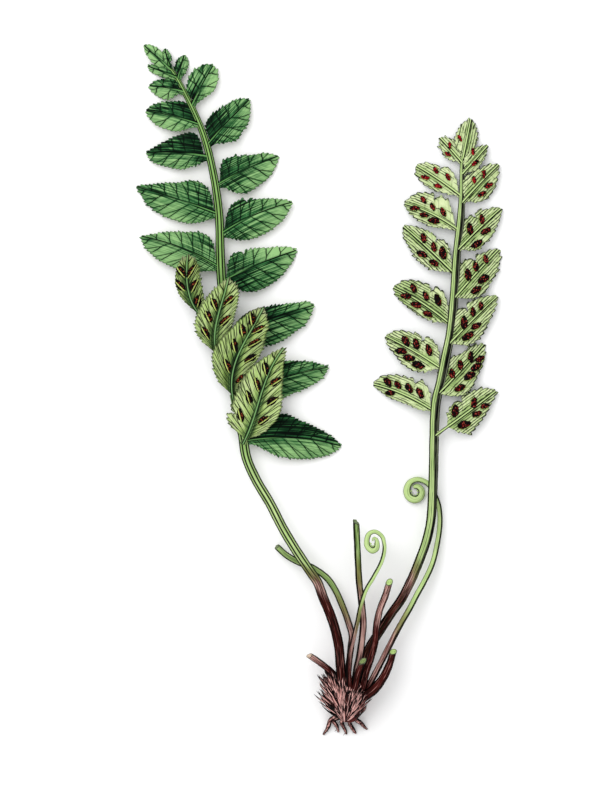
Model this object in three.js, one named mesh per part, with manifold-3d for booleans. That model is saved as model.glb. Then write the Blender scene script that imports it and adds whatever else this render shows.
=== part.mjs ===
// Sea spleenwort: a small fern lifted with its roots and laid on a flat surface.
// Millimetres. +X runs to the right across the plant, +Y from the roots to the frond tips, +Z up.
// The tables below give places from the crown, where the stalks leave the rootstock.
import * as THREE from "three";
import { mergeVertices } from "three/addons/utils/BufferGeometryUtils.js";
import Module from "manifold-3d";

// Driving dimensions
const CROWN = [9.45, -86.22]; // the crown in the part's own frame, whose origin is under the middle
const JOINT_GAP = 0.3; // clearance between neighbouring pieces
const BLADE_HALF = 0.33; // half the thickness of a leaflet
const RIB_HALF = 0.62; // the same at its midrib, on the lower face of the leaf
// Teeth: the length of margin each takes, how far it stands out, the share of its length at which
// it peaks, and how its height is shared between the notch before it and its point
const TOOTH = { pitch: 3.2, height: 0.75, peak: 0.62, notch: 0.4, point: 0.35 };
const FOLD = 0.52; // share of a leaflet's half width at which its faces are creased
const BLADE_FOOT = 0.5; // half the width of a leaflet where it leaves the frond's axis
const BARE_FOOT = 1.9; // length of midrib from the axis's centre before the blade widens
const SORUS = { length: 4.2, width: 2.6, height: 0.5, ridge: 0.4, first: 0.2, span: 0.62 };

// Leaflets that lie flat: heights of their tips in turn, how much they arch, how far their margins
// droop and how they tilt, in turn
const FLAT = { tips: [0, 1.0, 0.6, 0, 1.3], arch: 0.9, droop: 0.8, tilts: [0.3, -0.25, 0.1] };
// Leaflets turned over the axis: heights of foot and tip above the axis
const TURNED = { foot: 0.7, tip: 5.8, arch: 0.5, droop: 0.7 };
const STEP = 3.3; // spacing of the rings along a stalk
const COIL_STEP = 1.1; // spacing of the rings in a coiled frond

// Half widths of the frond stalks: at the crown, at the foot of the green part and at the tip
const LEFT_RADII = [1.3, 1.3, 0.65];
const RIGHT_RADII = [1.2, 1.25, 0.55];

// Sides of each kind of stem
const STALK_SIDES = 8;
const ROOT_SIDES = 6;
const SCALE_SIDES = 3;

// Section of a frond's axis: two ridges with a groove between them above, round below
const GROOVED = [
  [1, 0.1],
  [0.6, 0.75],
  [0, 0.45],
  [-0.6, 0.75],
  [-1, 0.1],
  [-0.65, -0.7],
  [0, -0.95],
  [0.65, -0.7],
];

const COLOURS = {
  upperLeaf: 0x2f7a3e,
  underLeaf: 0xa9cc73,
  greenStalk: 0x9fc96b,
  brownStalk: 0x4a231c,
  mauveStalk: 0x8a6259,
  rootstock: 0x8c4d47,
};

// Left frond, upper face up: points of its axis from the foot of the green stalk to the tip
const LEFT_AXIS = [
  [-11.6, 31.2, 8.9],
  [-13.2, 33.6, 8.5],
  [-16.5, 39.0, 7.7],
  [-20.1, 45.0, 6.8],
  [-24.0, 52.5, 5.8],
  [-28.1, 59.4, 4.9],
  [-31.0, 66.0, 4.2],
  [-32.1, 72.6, 3.8],
  [-34.1, 87.0, 3.5],
  [-36.5, 103.0, 3.4],
  [-38.4, 117.3, 3.4],
  [-38.9, 127.0, 3.4],
  [-39.3, 139.2, 3.4],
  [-40.5, 148.5, 3.3],
  [-42.6, 158.4, 3.1],
  [-44.7, 165.0, 2.8],
  [-48.9, 174.3, 2.3],
  [-53.2, 181.9, 1.8],
  [-56.0, 185.0, 1.5],
];
const LEFT_STALK = [
  [-2.4, -2.6, 9.3],
  [-2.7, 0.9, 9.6],
  [-3.0, 5.1, 10.0],
  [-3.4, 9.9, 10.2],
  [-4.5, 15.0, 10.2],
  [-6.3, 19.8, 9.9],
  [-8.4, 24.3, 9.6],
  [-10.2, 29.1, 9.1],
  [-11.6, 31.2, 8.9],
];

// Right frond, lower face up
const RIGHT_AXIS = [
  [18.3, 30.3, 5.6],
  [20.1, 36.0, 5.4],
  [22.2, 41.7, 5.2],
  [23.7, 47.5, 4.9],
  [24.3, 54.9, 4.7],
  [25.0, 62.4, 4.4],
  [25.2, 71.7, 4.0],
  [25.4, 77.7, 3.7],
  [25.9, 83.4, 3.5],
  [27.3, 89.1, 3.4],
  [28.8, 96.6, 3.3],
  [30.3, 104.4, 3.3],
  [31.4, 117.0, 3.3],
  [32.1, 127.5, 3.2],
  [33.2, 137.5, 3.0],
  [33.7, 146.7, 2.7],
  [33.8, 155.0, 2.3],
  [34.9, 162.0, 1.9],
];
const RIGHT_STALK = [
  [3.0, -1.2, 5.6],
  [3.9, 2.7, 5.6],
  [5.3, 8.4, 5.7],
  [9.0, 14.4, 5.8],
  [12.3, 19.5, 5.8],
  [15.0, 23.7, 5.7],
  [18.3, 30.3, 5.6],
];

// Leaflets: foot and tip, then how far the leaf stands out above its midrib (the side nearer the
// frond's tip) and below it, how far the midrib bows to that side, and the sori in a row each side
const LEFT_LEAFLETS = [
  { foot: [-49.8, 175.8], tip: [-60.3, 177.9], above: 3.0, below: 2.8, bow: 0.2 },
  { foot: [-46.2, 165.6], tip: [-60.9, 170.1], above: 4.6, below: 3.9, bow: 0.4 },
  { foot: [-43.2, 156.3], tip: [-61.2, 157.8], above: 5.9, below: 4.7, bow: 0.5 },
  { foot: [-40.8, 138.9], tip: [-64.2, 147.6], above: 6.8, below: 5.4, bow: 0.3 },
  { foot: [-39.9, 123.0], tip: [-62.7, 132.6], above: 6.4, below: 5.1, bow: 1.2 },
  { foot: [-51.4, 180.0], tip: [-49.8, 187.2], above: 2.0, below: 2.1, bow: 0 },
  { foot: [-46.8, 172.2], tip: [-41.1, 183.9], above: 4.4, below: 3.8, bow: 0.2 },
  { foot: [-41.4, 160.2], tip: [-30.3, 173.7], above: 5.0, below: 5.5, bow: 0.2 },
  { foot: [-39.3, 147.9], tip: [-21.6, 156.8], above: 5.3, below: 6.0, bow: 0.5 },
  { foot: [-37.9, 132.9], tip: [-17.4, 142.8], above: 5.9, below: 5.4, bow: 1.1 },
  { foot: [-37.2, 119.1], tip: [-16.2, 128.4], above: 5.8, below: 6.4, bow: 0.5 },
  { foot: [-35.9, 102.9], tip: [-10.8, 111.9], above: 4.8, below: 6.5, bow: 0.4 },
  { foot: [-33.9, 84.9], tip: [-6.6, 93.3], above: 5.7, below: 5.5, bow: 0.8 },
  { foot: [-31.3, 71.0], tip: [-2.7, 69.6], above: 6.9, below: 6.1, bow: 1.7 },
];

// The lowest four leaflets of its left side are turned over across the axis, sori up
const TURNED_LEAFLETS = [
  { foot: [-39.0, 103.4], tip: [-48.9, 126.6], above: 4.2, below: 3.4, bow: 3.8, bare: 8, sori: [2, 2] },
  { foot: [-37.2, 92.6], tip: [-36.3, 119.4], above: 5.6, below: 5.4, bow: 3.9, bare: 5.5, sori: [3, 3] },
  { foot: [-35.0, 82.6], tip: [-26.4, 110.7], above: 7.4, below: 5.2, bow: 1.5, bare: 2.5, sori: [4, 4] },
  { foot: [-32.6, 73.0], tip: [-19.8, 99.0], above: 8.0, below: 6.0, bow: 0.5, sori: [4, 4] },
];

const RIGHT_LEAFLETS = [
  { foot: [32.9, 144.3], tip: [20.1, 153.9], above: 4.1, below: 3.4, bow: 0.3, sori: [2, 2] },
  { foot: [32.2, 134.2], tip: [16.5, 142.5], above: 5.5, below: 3.0, bow: 0.8, sori: [3, 3] },
  { foot: [31.2, 120.9], tip: [16.2, 135.6], above: 4.8, below: 4.4, bow: 0.2, sori: [3, 2] },
  { foot: [29.8, 105.7], tip: [13.2, 117.3], above: 5.8, below: 4.0, bow: 0.7, sori: [3, 3] },
  { foot: [27.6, 92.6], tip: [10.8, 102.6], above: 5.0, below: 5.6, bow: 0.4, sori: [3, 3] },
  { foot: [25.0, 79.8], tip: [7.2, 88.2], above: 5.6, below: 3.0, bow: 0.9, sori: [4, 2] },
  { foot: [33.9, 142.5], tip: [44.7, 154.2], above: 4.4, below: 3.8, bow: 0.2, sori: [2, 2] },
  { foot: [33.0, 128.2], tip: [45.3, 141.0], above: 4.8, below: 4.6, bow: 0.2, sori: [2, 2] },
  { foot: [32.0, 114.0], tip: [44.7, 128.7], above: 5.2, below: 5.4, bow: 0.2, sori: [3, 2] },
  { foot: [30.6, 99.9], tip: [44.2, 114.6], above: 5.0, below: 5.0, bow: 0.2, sori: [3, 2] },
  { foot: [28.0, 84.5], tip: [40.2, 100.2], above: 4.6, below: 5.8, bow: -0.2, sori: [3, 4] },
  { foot: [25.4, 72.6], tip: [43.8, 86.1], above: 4.9, below: 5.4, bow: 0.3, bare: 5, sori: [3, 2] },
];

// The undivided tips of the two fronds: a blade at the end and a lobe on each side
const LEFT_TIP = [
  { foot: [-54.0, 182.6], tip: [-61.9, 190.0], above: 2.0, below: 2.0, bow: 0 },
  { foot: [-52.2, 180.3], tip: [-60.8, 183.9], above: 1.7, below: 1.7, bow: 0 },
  { foot: [-54.2, 183.0], tip: [-55.6, 189.0], above: 1.5, below: 1.6, bow: 0 },
];
const RIGHT_TIP = [
  { foot: [33.8, 156.0], tip: [36.3, 167.8], above: 3.4, below: 3.2, bow: 0, sori: [1, 1] },
  { foot: [33.7, 154.6], tip: [27.3, 162.3], above: 2.9, below: 2.4, bow: 0, sori: [1, 1] },
  { foot: [33.8, 151.2], tip: [41.4, 159.9], above: 2.8, below: 2.6, bow: 0, sori: [1, 1] },
];

// Margins: how slowly a leaflet widens from its foot and how fast it narrows to its tip, above
// and below its midrib
const LEFT_MARGINS = {
  left: { above: { rise: 0.28, fall: 0.96 }, below: { rise: 0.72, fall: 0.95 } },
  right: { above: { rise: 0.34, fall: 0.9 }, below: { rise: 0.7, fall: 0.9 } },
};
const TURNED_MARGINS = { above: { rise: 0.24, fall: 0.78 }, below: { rise: 0.5, fall: 0.74 } };
const RIGHT_MARGINS = {
  left: { above: { rise: 0.5, fall: 0.62 }, below: { rise: 0.95, fall: 0.78 } },
  right: { above: { rise: 0.6, fall: 0.95 }, below: { rise: 0.42, fall: 0.92 } },
};

// Coiled young fronds: the stalk's points, then a flat spiral about a centre
const LARGE_COIL = {
  stalk: [
    [6.1, -0.9, 7.6],
    [9.0, 4.5, 7.3],
    [11.7, 10.2, 6.8],
    [14.7, 15.9, 6.2],
    [18.0, 21.6, 5.5],
    [19.8, 25.2, 5.0],
    [21.8, 28.9, 4.4],
    [24.3, 34.2, 3.6],
    [25.9, 39.6, 2.8],
    [27.0, 45.6, 2.0],
    [27.1, 50.5, 1.5],
    [25.9, 54.6, 1.2],
  ],
  border: [18.0, 21.6],
  centre: [19.4, 55.5, 0.85],
  turns: { from: 25, to: 480 },
  reach: { from: 3.9, to: 0.95, wide: 0.97, tall: 1.08 },
  radius: { foot: 1.0, coil: 0.88, tip: 0.6 },
};
const SMALL_COIL = {
  stalk: [
    [-0.3, -2.6, 10.8],
    [-0.5, 2.7, 10.9],
    [-0.2, 7.8, 10.9],
    [0.9, 12.4, 10.9],
    [2.1, 17.4, 10.8],
    [3.0, 21.9, 10.7],
    [4.6, 26.7, 10.4],
    [6.9, 30.6, 9.8],
    [9.2, 35.2, 9.2],
  ],
  border: [3.0, 21.9],
  centre: [6.7, 40.5, 8.6],
  turns: { from: -15, to: 560 },
  reach: { from: 3.7, to: 0.5, wide: 0.9, tall: 1.16 },
  radius: { foot: 0.8, coil: 0.7, tip: 0.32 },
};

// Stalks cut short, from the foot to the cut end; the upper part of the two long ones is green
const CUT_STALKS = {
  middle: {
    path: [
      [1.3, -2.0, 7.6],
      [1.9, 2.7, 7.6],
      [2.8, 7.0, 7.6],
      [3.5, 11.7, 7.5],
      [3.9, 17.1, 7.4],
      [3.4, 22.8, 7.3],
      [2.7, 28.8, 7.1],
      [2.4, 33.9, 6.9],
      [2.1, 40.2, 6.6],
      [1.8, 46.8, 6.3],
    ],
    border: [2.6, 30.0],
    radius: [1.05, 0.9],
  },
  left: {
    path: [
      [-0.9, -1.6, 5.2],
      [-0.4, 4.0, 5.2],
      [0.3, 9.9, 5.2],
      [0.5, 12.9, 5.2],
      [-0.8, 17.7, 5.1],
      [-2.5, 22.2, 4.9],
      [-4.4, 26.4, 4.7],
      [-6.9, 30.0, 4.4],
      [-11.1, 33.0, 3.8],
      [-15.6, 34.8, 3.1],
      [-19.2, 36.9, 2.5],
      [-21.9, 39.3, 2.0],
    ],
    border: [-2.0, 20.7],
    radius: [1.0, 0.85],
  },
};
const STUBS = {
  tall_stub: {
    path: [
      [3.8, -1.4, 9.1],
      [4.8, 2.7, 9.2],
      [6.3, 7.0, 9.4],
      [7.5, 11.7, 9.6],
      [7.9, 15.9, 9.7],
      [9.0, 20.8, 9.6],
      [10.8, 25.2, 9.4],
      [11.7, 28.8, 9.2],
    ],
    radius: [1.1, 1.0],
  },
  short_stub: {
    path: [
      [1.7, -1.7, 10.7],
      [2.3, 1.5, 11.0],
      [3.6, 5.7, 11.4],
    ],
    radius: [1.05, 0.95],
  },
  right_stub: {
    path: [
      [4.6, -5.0, 8.3],
      [7.6, -2.9, 8.8],
      [10.6, 0.5, 9.3],
      [12.3, 4.2, 9.3],
      [13.1, 8.4, 9.1],
    ],
    radius: [1.2, 1.05],
  },
  broken_stub: {
    path: [
      [-4.0, -0.3, 6.5],
      [-5.7, 1.5, 6.8],
      [-8.1, 4.2, 7.1],
      [-11.1, 5.7, 7.2],
      [-12.3, 7.6, 7.2],
    ],
    radius: [0.95, 0.8],
  },
};
const CUT_SLANT = 0.7; // how far a cut end leans back on its upper side, for each mm of height

// Rootstock: a lumpy body along Y with its half width and half height at each place
const BODY_X = -0.6; // its middle lies a little left of the crown
const BODY = [
  { y: -13.0, wide: 2.0, tall: 2.6, z: 4.2 },
  { y: -11.2, wide: 3.4, tall: 4.4, z: 5.2 },
  { y: -8.6, wide: 4.4, tall: 6.5, z: 6.1 },
  { y: -5.8, wide: 5.0, tall: 6.6, z: 6.2 },
  { y: -3.2, wide: 5.3, tall: 6.6, z: 6.2 },
  { y: -1.4, wide: 5.0, tall: 5.4, z: 7.2 },
  { y: -0.4, wide: 4.2, tall: 4.2, z: 7.8 },
];
const BODY_SIDES = 12;
// Scales: sunk by root, shorter to the right by skew, and laid between two shares of the body's length
const SCALES = {
  rows: 6,
  around: 12,
  length: 6.6,
  root: 0.8,
  width: 0.68,
  skew: 0.16,
  from: 0.12,
  to: 0.9,
  seed: 7,
};
const ROOTS = [
  [[-2.6, -10.6], [-5.2, -12.9], [-6.3, -14.6], [-7.8, -17.4]],
  [[-1.6, -11.0], [-3.9, -13.2], [-3.5, -14.9], [-3.0, -16.5]],
  [[-0.6, -11.4], [-1.9, -13.2], [-1.3, -15.0], [-0.6, -17.1]],
  [[0.6, -11.2], [0.4, -13.0], [0.7, -14.9], [1.9, -16.9]],
  [[1.8, -10.8], [2.4, -12.7], [3.7, -14.1], [5.4, -15.6]],
];
const ROOT_RADIUS = { from: 0.85, to: 0.3 };
const ROOT_HEIGHTS = [4.6, 2.6, 1.2, 0.3];

const wasm = await Module();
wasm.setup();
const UP = new THREE.Vector3(0, 0, 1);

function vector([x, y, z = 0]) {
  return new THREE.Vector3(x, y, z);
}

// The same numbers between 0 and 1 on every run
function randomFrom(seed) {
  let state = seed;
  return () => {
    state = (state * 16807) % 2147483647;
    return state / 2147483647;
  };
}

function smooth(low, high, value) {
  return THREE.MathUtils.smoothstep(value, low, high);
}

// Points and triangles as a closed solid
function solidOf(points, triangles) {
  const geometry = new THREE.BufferGeometry().setFromPoints(points);
  geometry.setIndex(triangles.flat());
  const merged = mergeVertices(geometry, 1e-4);
  return new wasm.Manifold(
    new wasm.Mesh({
      numProp: 3,
      vertProperties: merged.attributes.position.array,
      triVerts: new Uint32Array(merged.index.array),
    }),
  );
}

function meshOf(name, solid, colour, roughness) {
  const { vertProperties, triVerts } = solid.getMesh();
  const geometry = new THREE.BufferGeometry();
  geometry.setAttribute("position", new THREE.BufferAttribute(vertProperties, 3));
  geometry.setIndex(new THREE.BufferAttribute(triVerts, 1));
  geometry.computeVertexNormals();
  const material = new THREE.MeshStandardMaterial({ color: colour, roughness, metalness: 0 });
  const mesh = new THREE.Mesh(geometry, material);
  mesh.name = name;
  return mesh;
}

function union(solids) {
  return wasm.Manifold.union(solids);
}

// Joins solids and drops any loose scrap
function fuse(solids) {
  const bodies = union(solids).decompose();
  return bodies.reduce((a, b) => (b.volume() > a.volume() ? b : a));
}

function roundSection(sides) {
  return Array.from({ length: sides }, (_, i) => {
    const angle = ((i + 0.5) * 2 * Math.PI) / sides;
    return [Math.cos(angle), Math.sin(angle)];
  });
}

// A stem through the given centres. size(t) is its half width and half height at share t of the
// rings, and slant leans its end back on the upper side.
function sweep(centres, size, section, slant = 0) {
  const count = section.length;
  const last = centres.length - 1;
  const points = [];
  centres.forEach((centre, k) => {
    const before = centres[Math.max(k - 1, 0)];
    const after = centres[Math.min(k + 1, last)];
    const along = after.clone().sub(before).normalize();
    const up = UP.clone().addScaledVector(along, -UP.dot(along)).normalize();
    const right = along.clone().cross(up);
    const [wide, tall] = size(k / last);
    for (const [across, height] of section) {
      const lean = k === last ? -slant * height * tall : 0;
      points.push(
        centre
          .clone()
          .addScaledVector(right, across * wide)
          .addScaledVector(up, height * tall)
          .addScaledVector(along, lean),
      );
    }
  });
  const triangles = [];
  for (let k = 0; k < last; k++)
    for (let j = 0; j < count; j++) {
      const next = (j + 1) % count;
      const [a, b] = [k * count + j, k * count + next];
      const [c, d] = [b + count, a + count];
      triangles.push([a, d, b], [b, d, c]);
    }
  for (let j = 1; j < count - 1; j++) {
    triangles.push([0, j, j + 1]);
    triangles.push([last * count, last * count + j + 1, last * count + j]);
  }
  for (const point of points) point.z = Math.max(point.z, 0);
  return solidOf(points, triangles);
}

function curveThrough(path) {
  return new THREE.CatmullRomCurve3(path.map(vector), false, "centripetal");
}

// Evenly spaced points of a curve between two lengths along it
function stretch(curve, from, to, step = STEP) {
  const total = curve.getLength();
  const count = Math.max(2, Math.round((to - from) / step));
  return Array.from({ length: count + 1 }, (_, i) => {
    const length = from + ((to - from) * i) / count;
    return curve.getPointAt(THREE.MathUtils.clamp(length / total, 0, 1));
  });
}

// The length along a curve at which it passes nearest a place
function lengthAt(curve, [x, y]) {
  const samples = 400;
  const lengths = curve.getLengths(samples);
  let best = 0;
  let nearest = Infinity;
  for (let i = 0; i <= samples; i++) {
    const point = curve.getPoint(i / samples);
    const away = Math.hypot(point.x - x, point.y - y);
    if (away < nearest) [nearest, best] = [away, lengths[i]];
  }
  return best;
}

function taper(from, to) {
  return (t) => {
    const radius = from + (to - from) * t;
    return [radius, radius];
  };
}

// The share of the blade's own length, past the bare foot, at share u of the midrib
function widening(u, bare) {
  return THREE.MathUtils.clamp((u - bare) / (1 - bare), 0, 1);
}

// Half the width of a leaflet at share u of its blade
function reachAt(u, peak, { rise, fall }) {
  const widest = rise / (rise + fall);
  return peak * (u / widest) ** rise * ((1 - u) / (1 - widest)) ** fall;
}

// A leaflet as a surface: at(u, v) is the point at share u of the midrib and v mm to the side
// that is nearer the frond's tip.
function surfaceOf(leaflet, heights) {
  const foot = vector(leaflet.foot);
  const tip = vector(leaflet.tip);
  const along = tip.clone().sub(foot).normalize();
  const across = new THREE.Vector3(-along.y, along.x, 0).multiplyScalar(leaflet.turn);
  const at = (u, v) => {
    const bowed = v + leaflet.bow * 4 * u * (1 - u);
    const point = foot.clone().lerp(tip, u).addScaledVector(across, bowed);
    const wide = v / Math.max(leaflet.above, leaflet.below);
    point.z =
      heights.foot +
      (heights.tip - heights.foot) * u +
      heights.arch * 4 * u * (1 - u) -
      heights.droop * wide * wide +
      heights.tilt * wide * smooth(0, 0.25, u);
    point.z = Math.max(point.z, heights.floor);
    return point;
  };
  return { at, along, length: foot.distanceTo(tip) };
}

// A surface of points and triangles given thickness: both faces are split alike.
function slab(points, halfAbove, halfBelow, triangles) {
  const count = points.length;
  const above = points.map((p, i) => new THREE.Vector3(p.x, p.y, p.z + halfAbove[i]));
  const below = points.map((p, i) => new THREE.Vector3(p.x, p.y, p.z - halfBelow[i]));
  const faces = [...triangles];
  for (const [a, b, c] of triangles) faces.push([a + count, c + count, b + count]);
  const edges = new Set();
  for (const [a, b, c] of triangles)
    for (const edge of [[a, b], [b, c], [c, a]]) edges.add(edge.join());
  for (const edge of edges) {
    const [a, b] = edge.split(",").map(Number);
    if (!edges.has([b, a].join())) faces.push([a, a + count, b + count], [a, b + count, b]);
  }
  return solidOf([...above, ...below], faces);
}

// One toothed leaflet. lowerUp says that its lower face, with the raised midrib, is the one above.
function leafletSolid(leaflet, heights, margins, lowerUp) {
  const { at, length } = surfaceOf(leaflet, heights);
  const bare = (leaflet.bare ?? BARE_FOOT) / length;
  const teeth = Math.max(4, Math.round(length / TOOTH.pitch));
  const points = [];
  const onRib = [];
  const add = (point, rib = false) => {
    points.push(point);
    onRib.push(rib);
    return points.length - 1;
  };
  const stations = Array.from({ length: teeth + 1 }, (_, i) => i / teeth);
  const midrib = stations.map((u) => add(at(u, 0), true));
  const triangles = [];
  for (const side of [1, -1]) {
    const peak = side > 0 ? leaflet.above : leaflet.below;
    const margin = side > 0 ? margins.above : margins.below;
    const start = side > 0 ? [0, 0.12] : [0.08, 0.3];
    const reach = (u) => Math.max(BLADE_FOOT, reachAt(widening(u, bare), peak, margin));
    const inner = [];
    const notches = [];
    const tips = [];
    for (let i = 0; i < teeth; i++) {
      const u = stations[i];
      const ahead = u + TOOTH.peak / teeth;
      const size = TOOTH.height * smooth(...start, u + 0.05) * Math.min(1, 0.35 + peak / 6);
      const edge = i ? reach(u) - TOOTH.notch * size : BLADE_FOOT;
      inner.push(add(at(u, side * edge * FOLD)));
      notches.push(add(at(u, side * edge)));
      tips.push(add(at(ahead, side * (reach(ahead) + TOOTH.point * size))));
    }
    const strip = [];
    for (let i = 0; i < teeth; i++) {
      const end = i === teeth - 1;
      const corner = end ? midrib[teeth] : inner[i + 1];
      strip.push([midrib[i], midrib[i + 1], inner[i]]);
      if (!end) strip.push([inner[i], midrib[i + 1], corner]);
      strip.push([inner[i], tips[i], notches[i]], [inner[i], corner, tips[i]]);
      if (!end) strip.push([corner, notches[i + 1], tips[i]]);
    }
    const flip = side * leaflet.turn < 0;
    for (const [a, b, c] of strip) triangles.push(flip ? [a, c, b] : [a, b, c]);
  }
  const thick = onRib.map((rib) => (rib ? RIB_HALF : BLADE_HALF));
  const even = onRib.map(() => BLADE_HALF);
  return lowerUp ? slab(points, thick, even, triangles) : slab(points, even, thick, triangles);
}

// The sori of one leaflet: long low humps in a row each side of the midrib, along its side veins
function soriOf(leaflet, heights, margins) {
  const { at, length } = surfaceOf(leaflet, heights);
  const bare = (leaflet.bare ?? BARE_FOOT) / length;
  const humps = [];
  [1, -1].forEach((side, row) => {
    const count = leaflet.sori[row];
    const peak = side > 0 ? leaflet.above : leaflet.below;
    const margin = side > 0 ? margins.above : margins.below;
    for (let i = 0; i < count; i++) {
      const share = SORUS.first + (SORUS.span * (i + 0.5 - 0.15 * row)) / count;
      const u = bare + (1 - bare) * share;
      const v = side * 0.48 * reachAt(share, peak, margin);
      const size = Math.min(1, 0.45 + peak / 9);
      humps.push(hump(at, u, v, side, size));
    }
  });
  return humps;
}

// A hump with four corners sunk in the leaf and a short ridge on top
function hump(at, u, v, side, size) {
  const centre = at(u, v);
  const ahead = at(u + 0.03, v + side * 0.5).sub(centre).normalize();
  const sideways = UP.clone().cross(ahead).normalize();
  const half = [(SORUS.length * size) / 2, (SORUS.width * size) / 2];
  const sunk = BLADE_HALF / 2;
  const top = BLADE_HALF + SORUS.height * size;
  const place = (x, y, z) =>
    centre.clone().addScaledVector(ahead, x).addScaledVector(sideways, y).addScaledVector(UP, z);
  const points = [
    place(half[0], 0, sunk),
    place(0, half[1], sunk),
    place(-half[0], 0, sunk),
    place(0, -half[1], sunk),
    place(half[0] * SORUS.ridge, 0, top),
    place(-half[0] * SORUS.ridge, 0, top),
  ];
  const triangles = [
    [0, 1, 4],
    [1, 5, 4],
    [1, 2, 5],
    [2, 3, 5],
    [3, 4, 5],
    [3, 0, 4],
    [0, 2, 1],
    [0, 3, 2],
  ];
  return solidOf(points, triangles);
}

// Each leaflet with its hand, the way its upper side turns, and its foot set on the axis
function readied(leaflets, axis, turned = false) {
  const curve = curveThrough(axis);
  return leaflets.map((leaflet) => {
    const joint = curve.getPointAt(lengthAt(curve, leaflet.foot) / curve.getLength());
    const hand = leaflet.tip[0] < leaflet.foot[0] ? "left" : "right";
    const turn = hand === "left" && !turned ? -1 : 1;
    return { ...leaflet, foot: [joint.x, joint.y], hand, turn, joint: joint.z };
  });
}

// Heights of flat leaflets: they arch a little and come down to the surface at some of their tips
function flatHeights(leaflet, order, lowerUp) {
  const floor = lowerUp ? BLADE_HALF : RIB_HALF;
  const tip = floor + FLAT.tips[order % FLAT.tips.length];
  const tilt = FLAT.tilts[order % FLAT.tilts.length];
  return { foot: leaflet.joint, tip, arch: FLAT.arch, droop: FLAT.droop, tilt, floor };
}

// Heights of the leaflets turned over the axis: each rises towards its tip and clears the next
function turnedHeights({ joint }) {
  const { arch, droop } = TURNED;
  return { foot: joint + TURNED.foot, tip: joint + TURNED.tip, arch, droop, tilt: 0, floor: 0 };
}

function frondSolid({ axis, radii, flat, turned = [], margins, lowerUp }) {
  const curve = curveThrough(axis);
  const centres = stretch(curve, JOINT_GAP / 2, curve.getLength(), STEP * 1.4);
  const size = (t) => {
    const radius = THREE.MathUtils.lerp(radii[0], radii[1], smooth(0.4, 1, t));
    return [radius, radius];
  };
  const pieces = [sweep(centres, size, GROOVED)];
  readied(flat, axis).forEach((leaflet, order) => {
    const heights = flatHeights(leaflet, order, lowerUp);
    const margin = margins[leaflet.hand];
    pieces.push(leafletSolid(leaflet, heights, margin, lowerUp));
    if (leaflet.sori) pieces.push(...soriOf(leaflet, heights, margin));
  });
  for (const leaflet of readied(turned, axis, true)) {
    const heights = turnedHeights(leaflet);
    pieces.push(leafletSolid(leaflet, heights, TURNED_MARGINS, true));
    pieces.push(...soriOf(leaflet, heights, TURNED_MARGINS));
  }
  return fuse(pieces);
}

// Rings of a spiral that winds inwards and tapers
function spiral({ centre, turns, reach }) {
  const count = Math.round((turns.to - turns.from) / 24);
  return Array.from({ length: count + 1 }, (_, i) => {
    const t = i / count;
    const angle = THREE.MathUtils.degToRad(THREE.MathUtils.lerp(turns.from, turns.to, t));
    const radius = THREE.MathUtils.lerp(reach.from, reach.to, t);
    return new THREE.Vector3(
      centre[0] + radius * reach.wide * Math.cos(angle),
      centre[1] + radius * reach.tall * Math.sin(angle),
      centre[2],
    );
  });
}

// A coiled frond in two pieces: the brown foot and the green rest
function coiledFrond(coil) {
  const curve = curveThrough(coil.stalk);
  const total = curve.getLength();
  const border = lengthAt(curve, coil.border);
  const { foot, coil: thick, tip } = coil.radius;
  const middle = THREE.MathUtils.lerp(foot, thick, border / total);
  const brown = stretch(curve, 0, border - JOINT_GAP / 2);
  const straight = stretch(curve, border + JOINT_GAP / 2, total - COIL_STEP);
  const green = [...straight, ...spiral(coil)];
  const bend = (straight.length - 1) / (green.length - 1);
  const size = (t) => {
    const radius =
      t < bend
        ? THREE.MathUtils.lerp(middle, thick, t / bend)
        : THREE.MathUtils.lerp(thick, tip, ((t - bend) / (1 - bend)) ** 1.5);
    return [radius, radius];
  };
  const section = roundSection(STALK_SIDES);
  return { brown: sweep(brown, taper(foot, middle), section), green: sweep(green, size, section) };
}

// A cut stalk in two pieces, brown below its border and green above
function cutStalk({ path, border, radius }) {
  const curve = curveThrough(path);
  const total = curve.getLength();
  const at = lengthAt(curve, border);
  const middle = THREE.MathUtils.lerp(radius[0], radius[1], at / total);
  const section = roundSection(STALK_SIDES);
  return {
    brown: sweep(stretch(curve, 0, at - JOINT_GAP / 2), taper(radius[0], middle), section),
    green: sweep(
      stretch(curve, at + JOINT_GAP / 2, total),
      taper(middle, radius[1]),
      section,
      CUT_SLANT,
    ),
  };
}

// The hole in the crown that takes the foot of a stalk
function socket(path, radius) {
  const centres = path.slice(0, 4).map(vector);
  const back = centres[0].clone().sub(centres[1]).normalize();
  centres.unshift(centres[0].clone().addScaledVector(back, JOINT_GAP));
  const curve = new THREE.CatmullRomCurve3(centres, false, "centripetal");
  const size = taper(radius + JOINT_GAP, radius + JOINT_GAP);
  return sweep(stretch(curve, 0, curve.getLength()), size, roundSection(STALK_SIDES));
}

// The rootstock's surface at a share of its length and an angle round it
function bodyAt(t, angle) {
  const place = THREE.MathUtils.clamp(t, 0, 1) * (BODY.length - 1);
  const k = Math.min(Math.floor(place), BODY.length - 2);
  const mix = (key) => THREE.MathUtils.lerp(BODY[k][key], BODY[k + 1][key], place - k);
  return new THREE.Vector3(
    BODY_X + mix("wide") * Math.cos(angle),
    mix("y"),
    mix("z") + mix("tall") * Math.sin(angle),
  );
}

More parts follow.
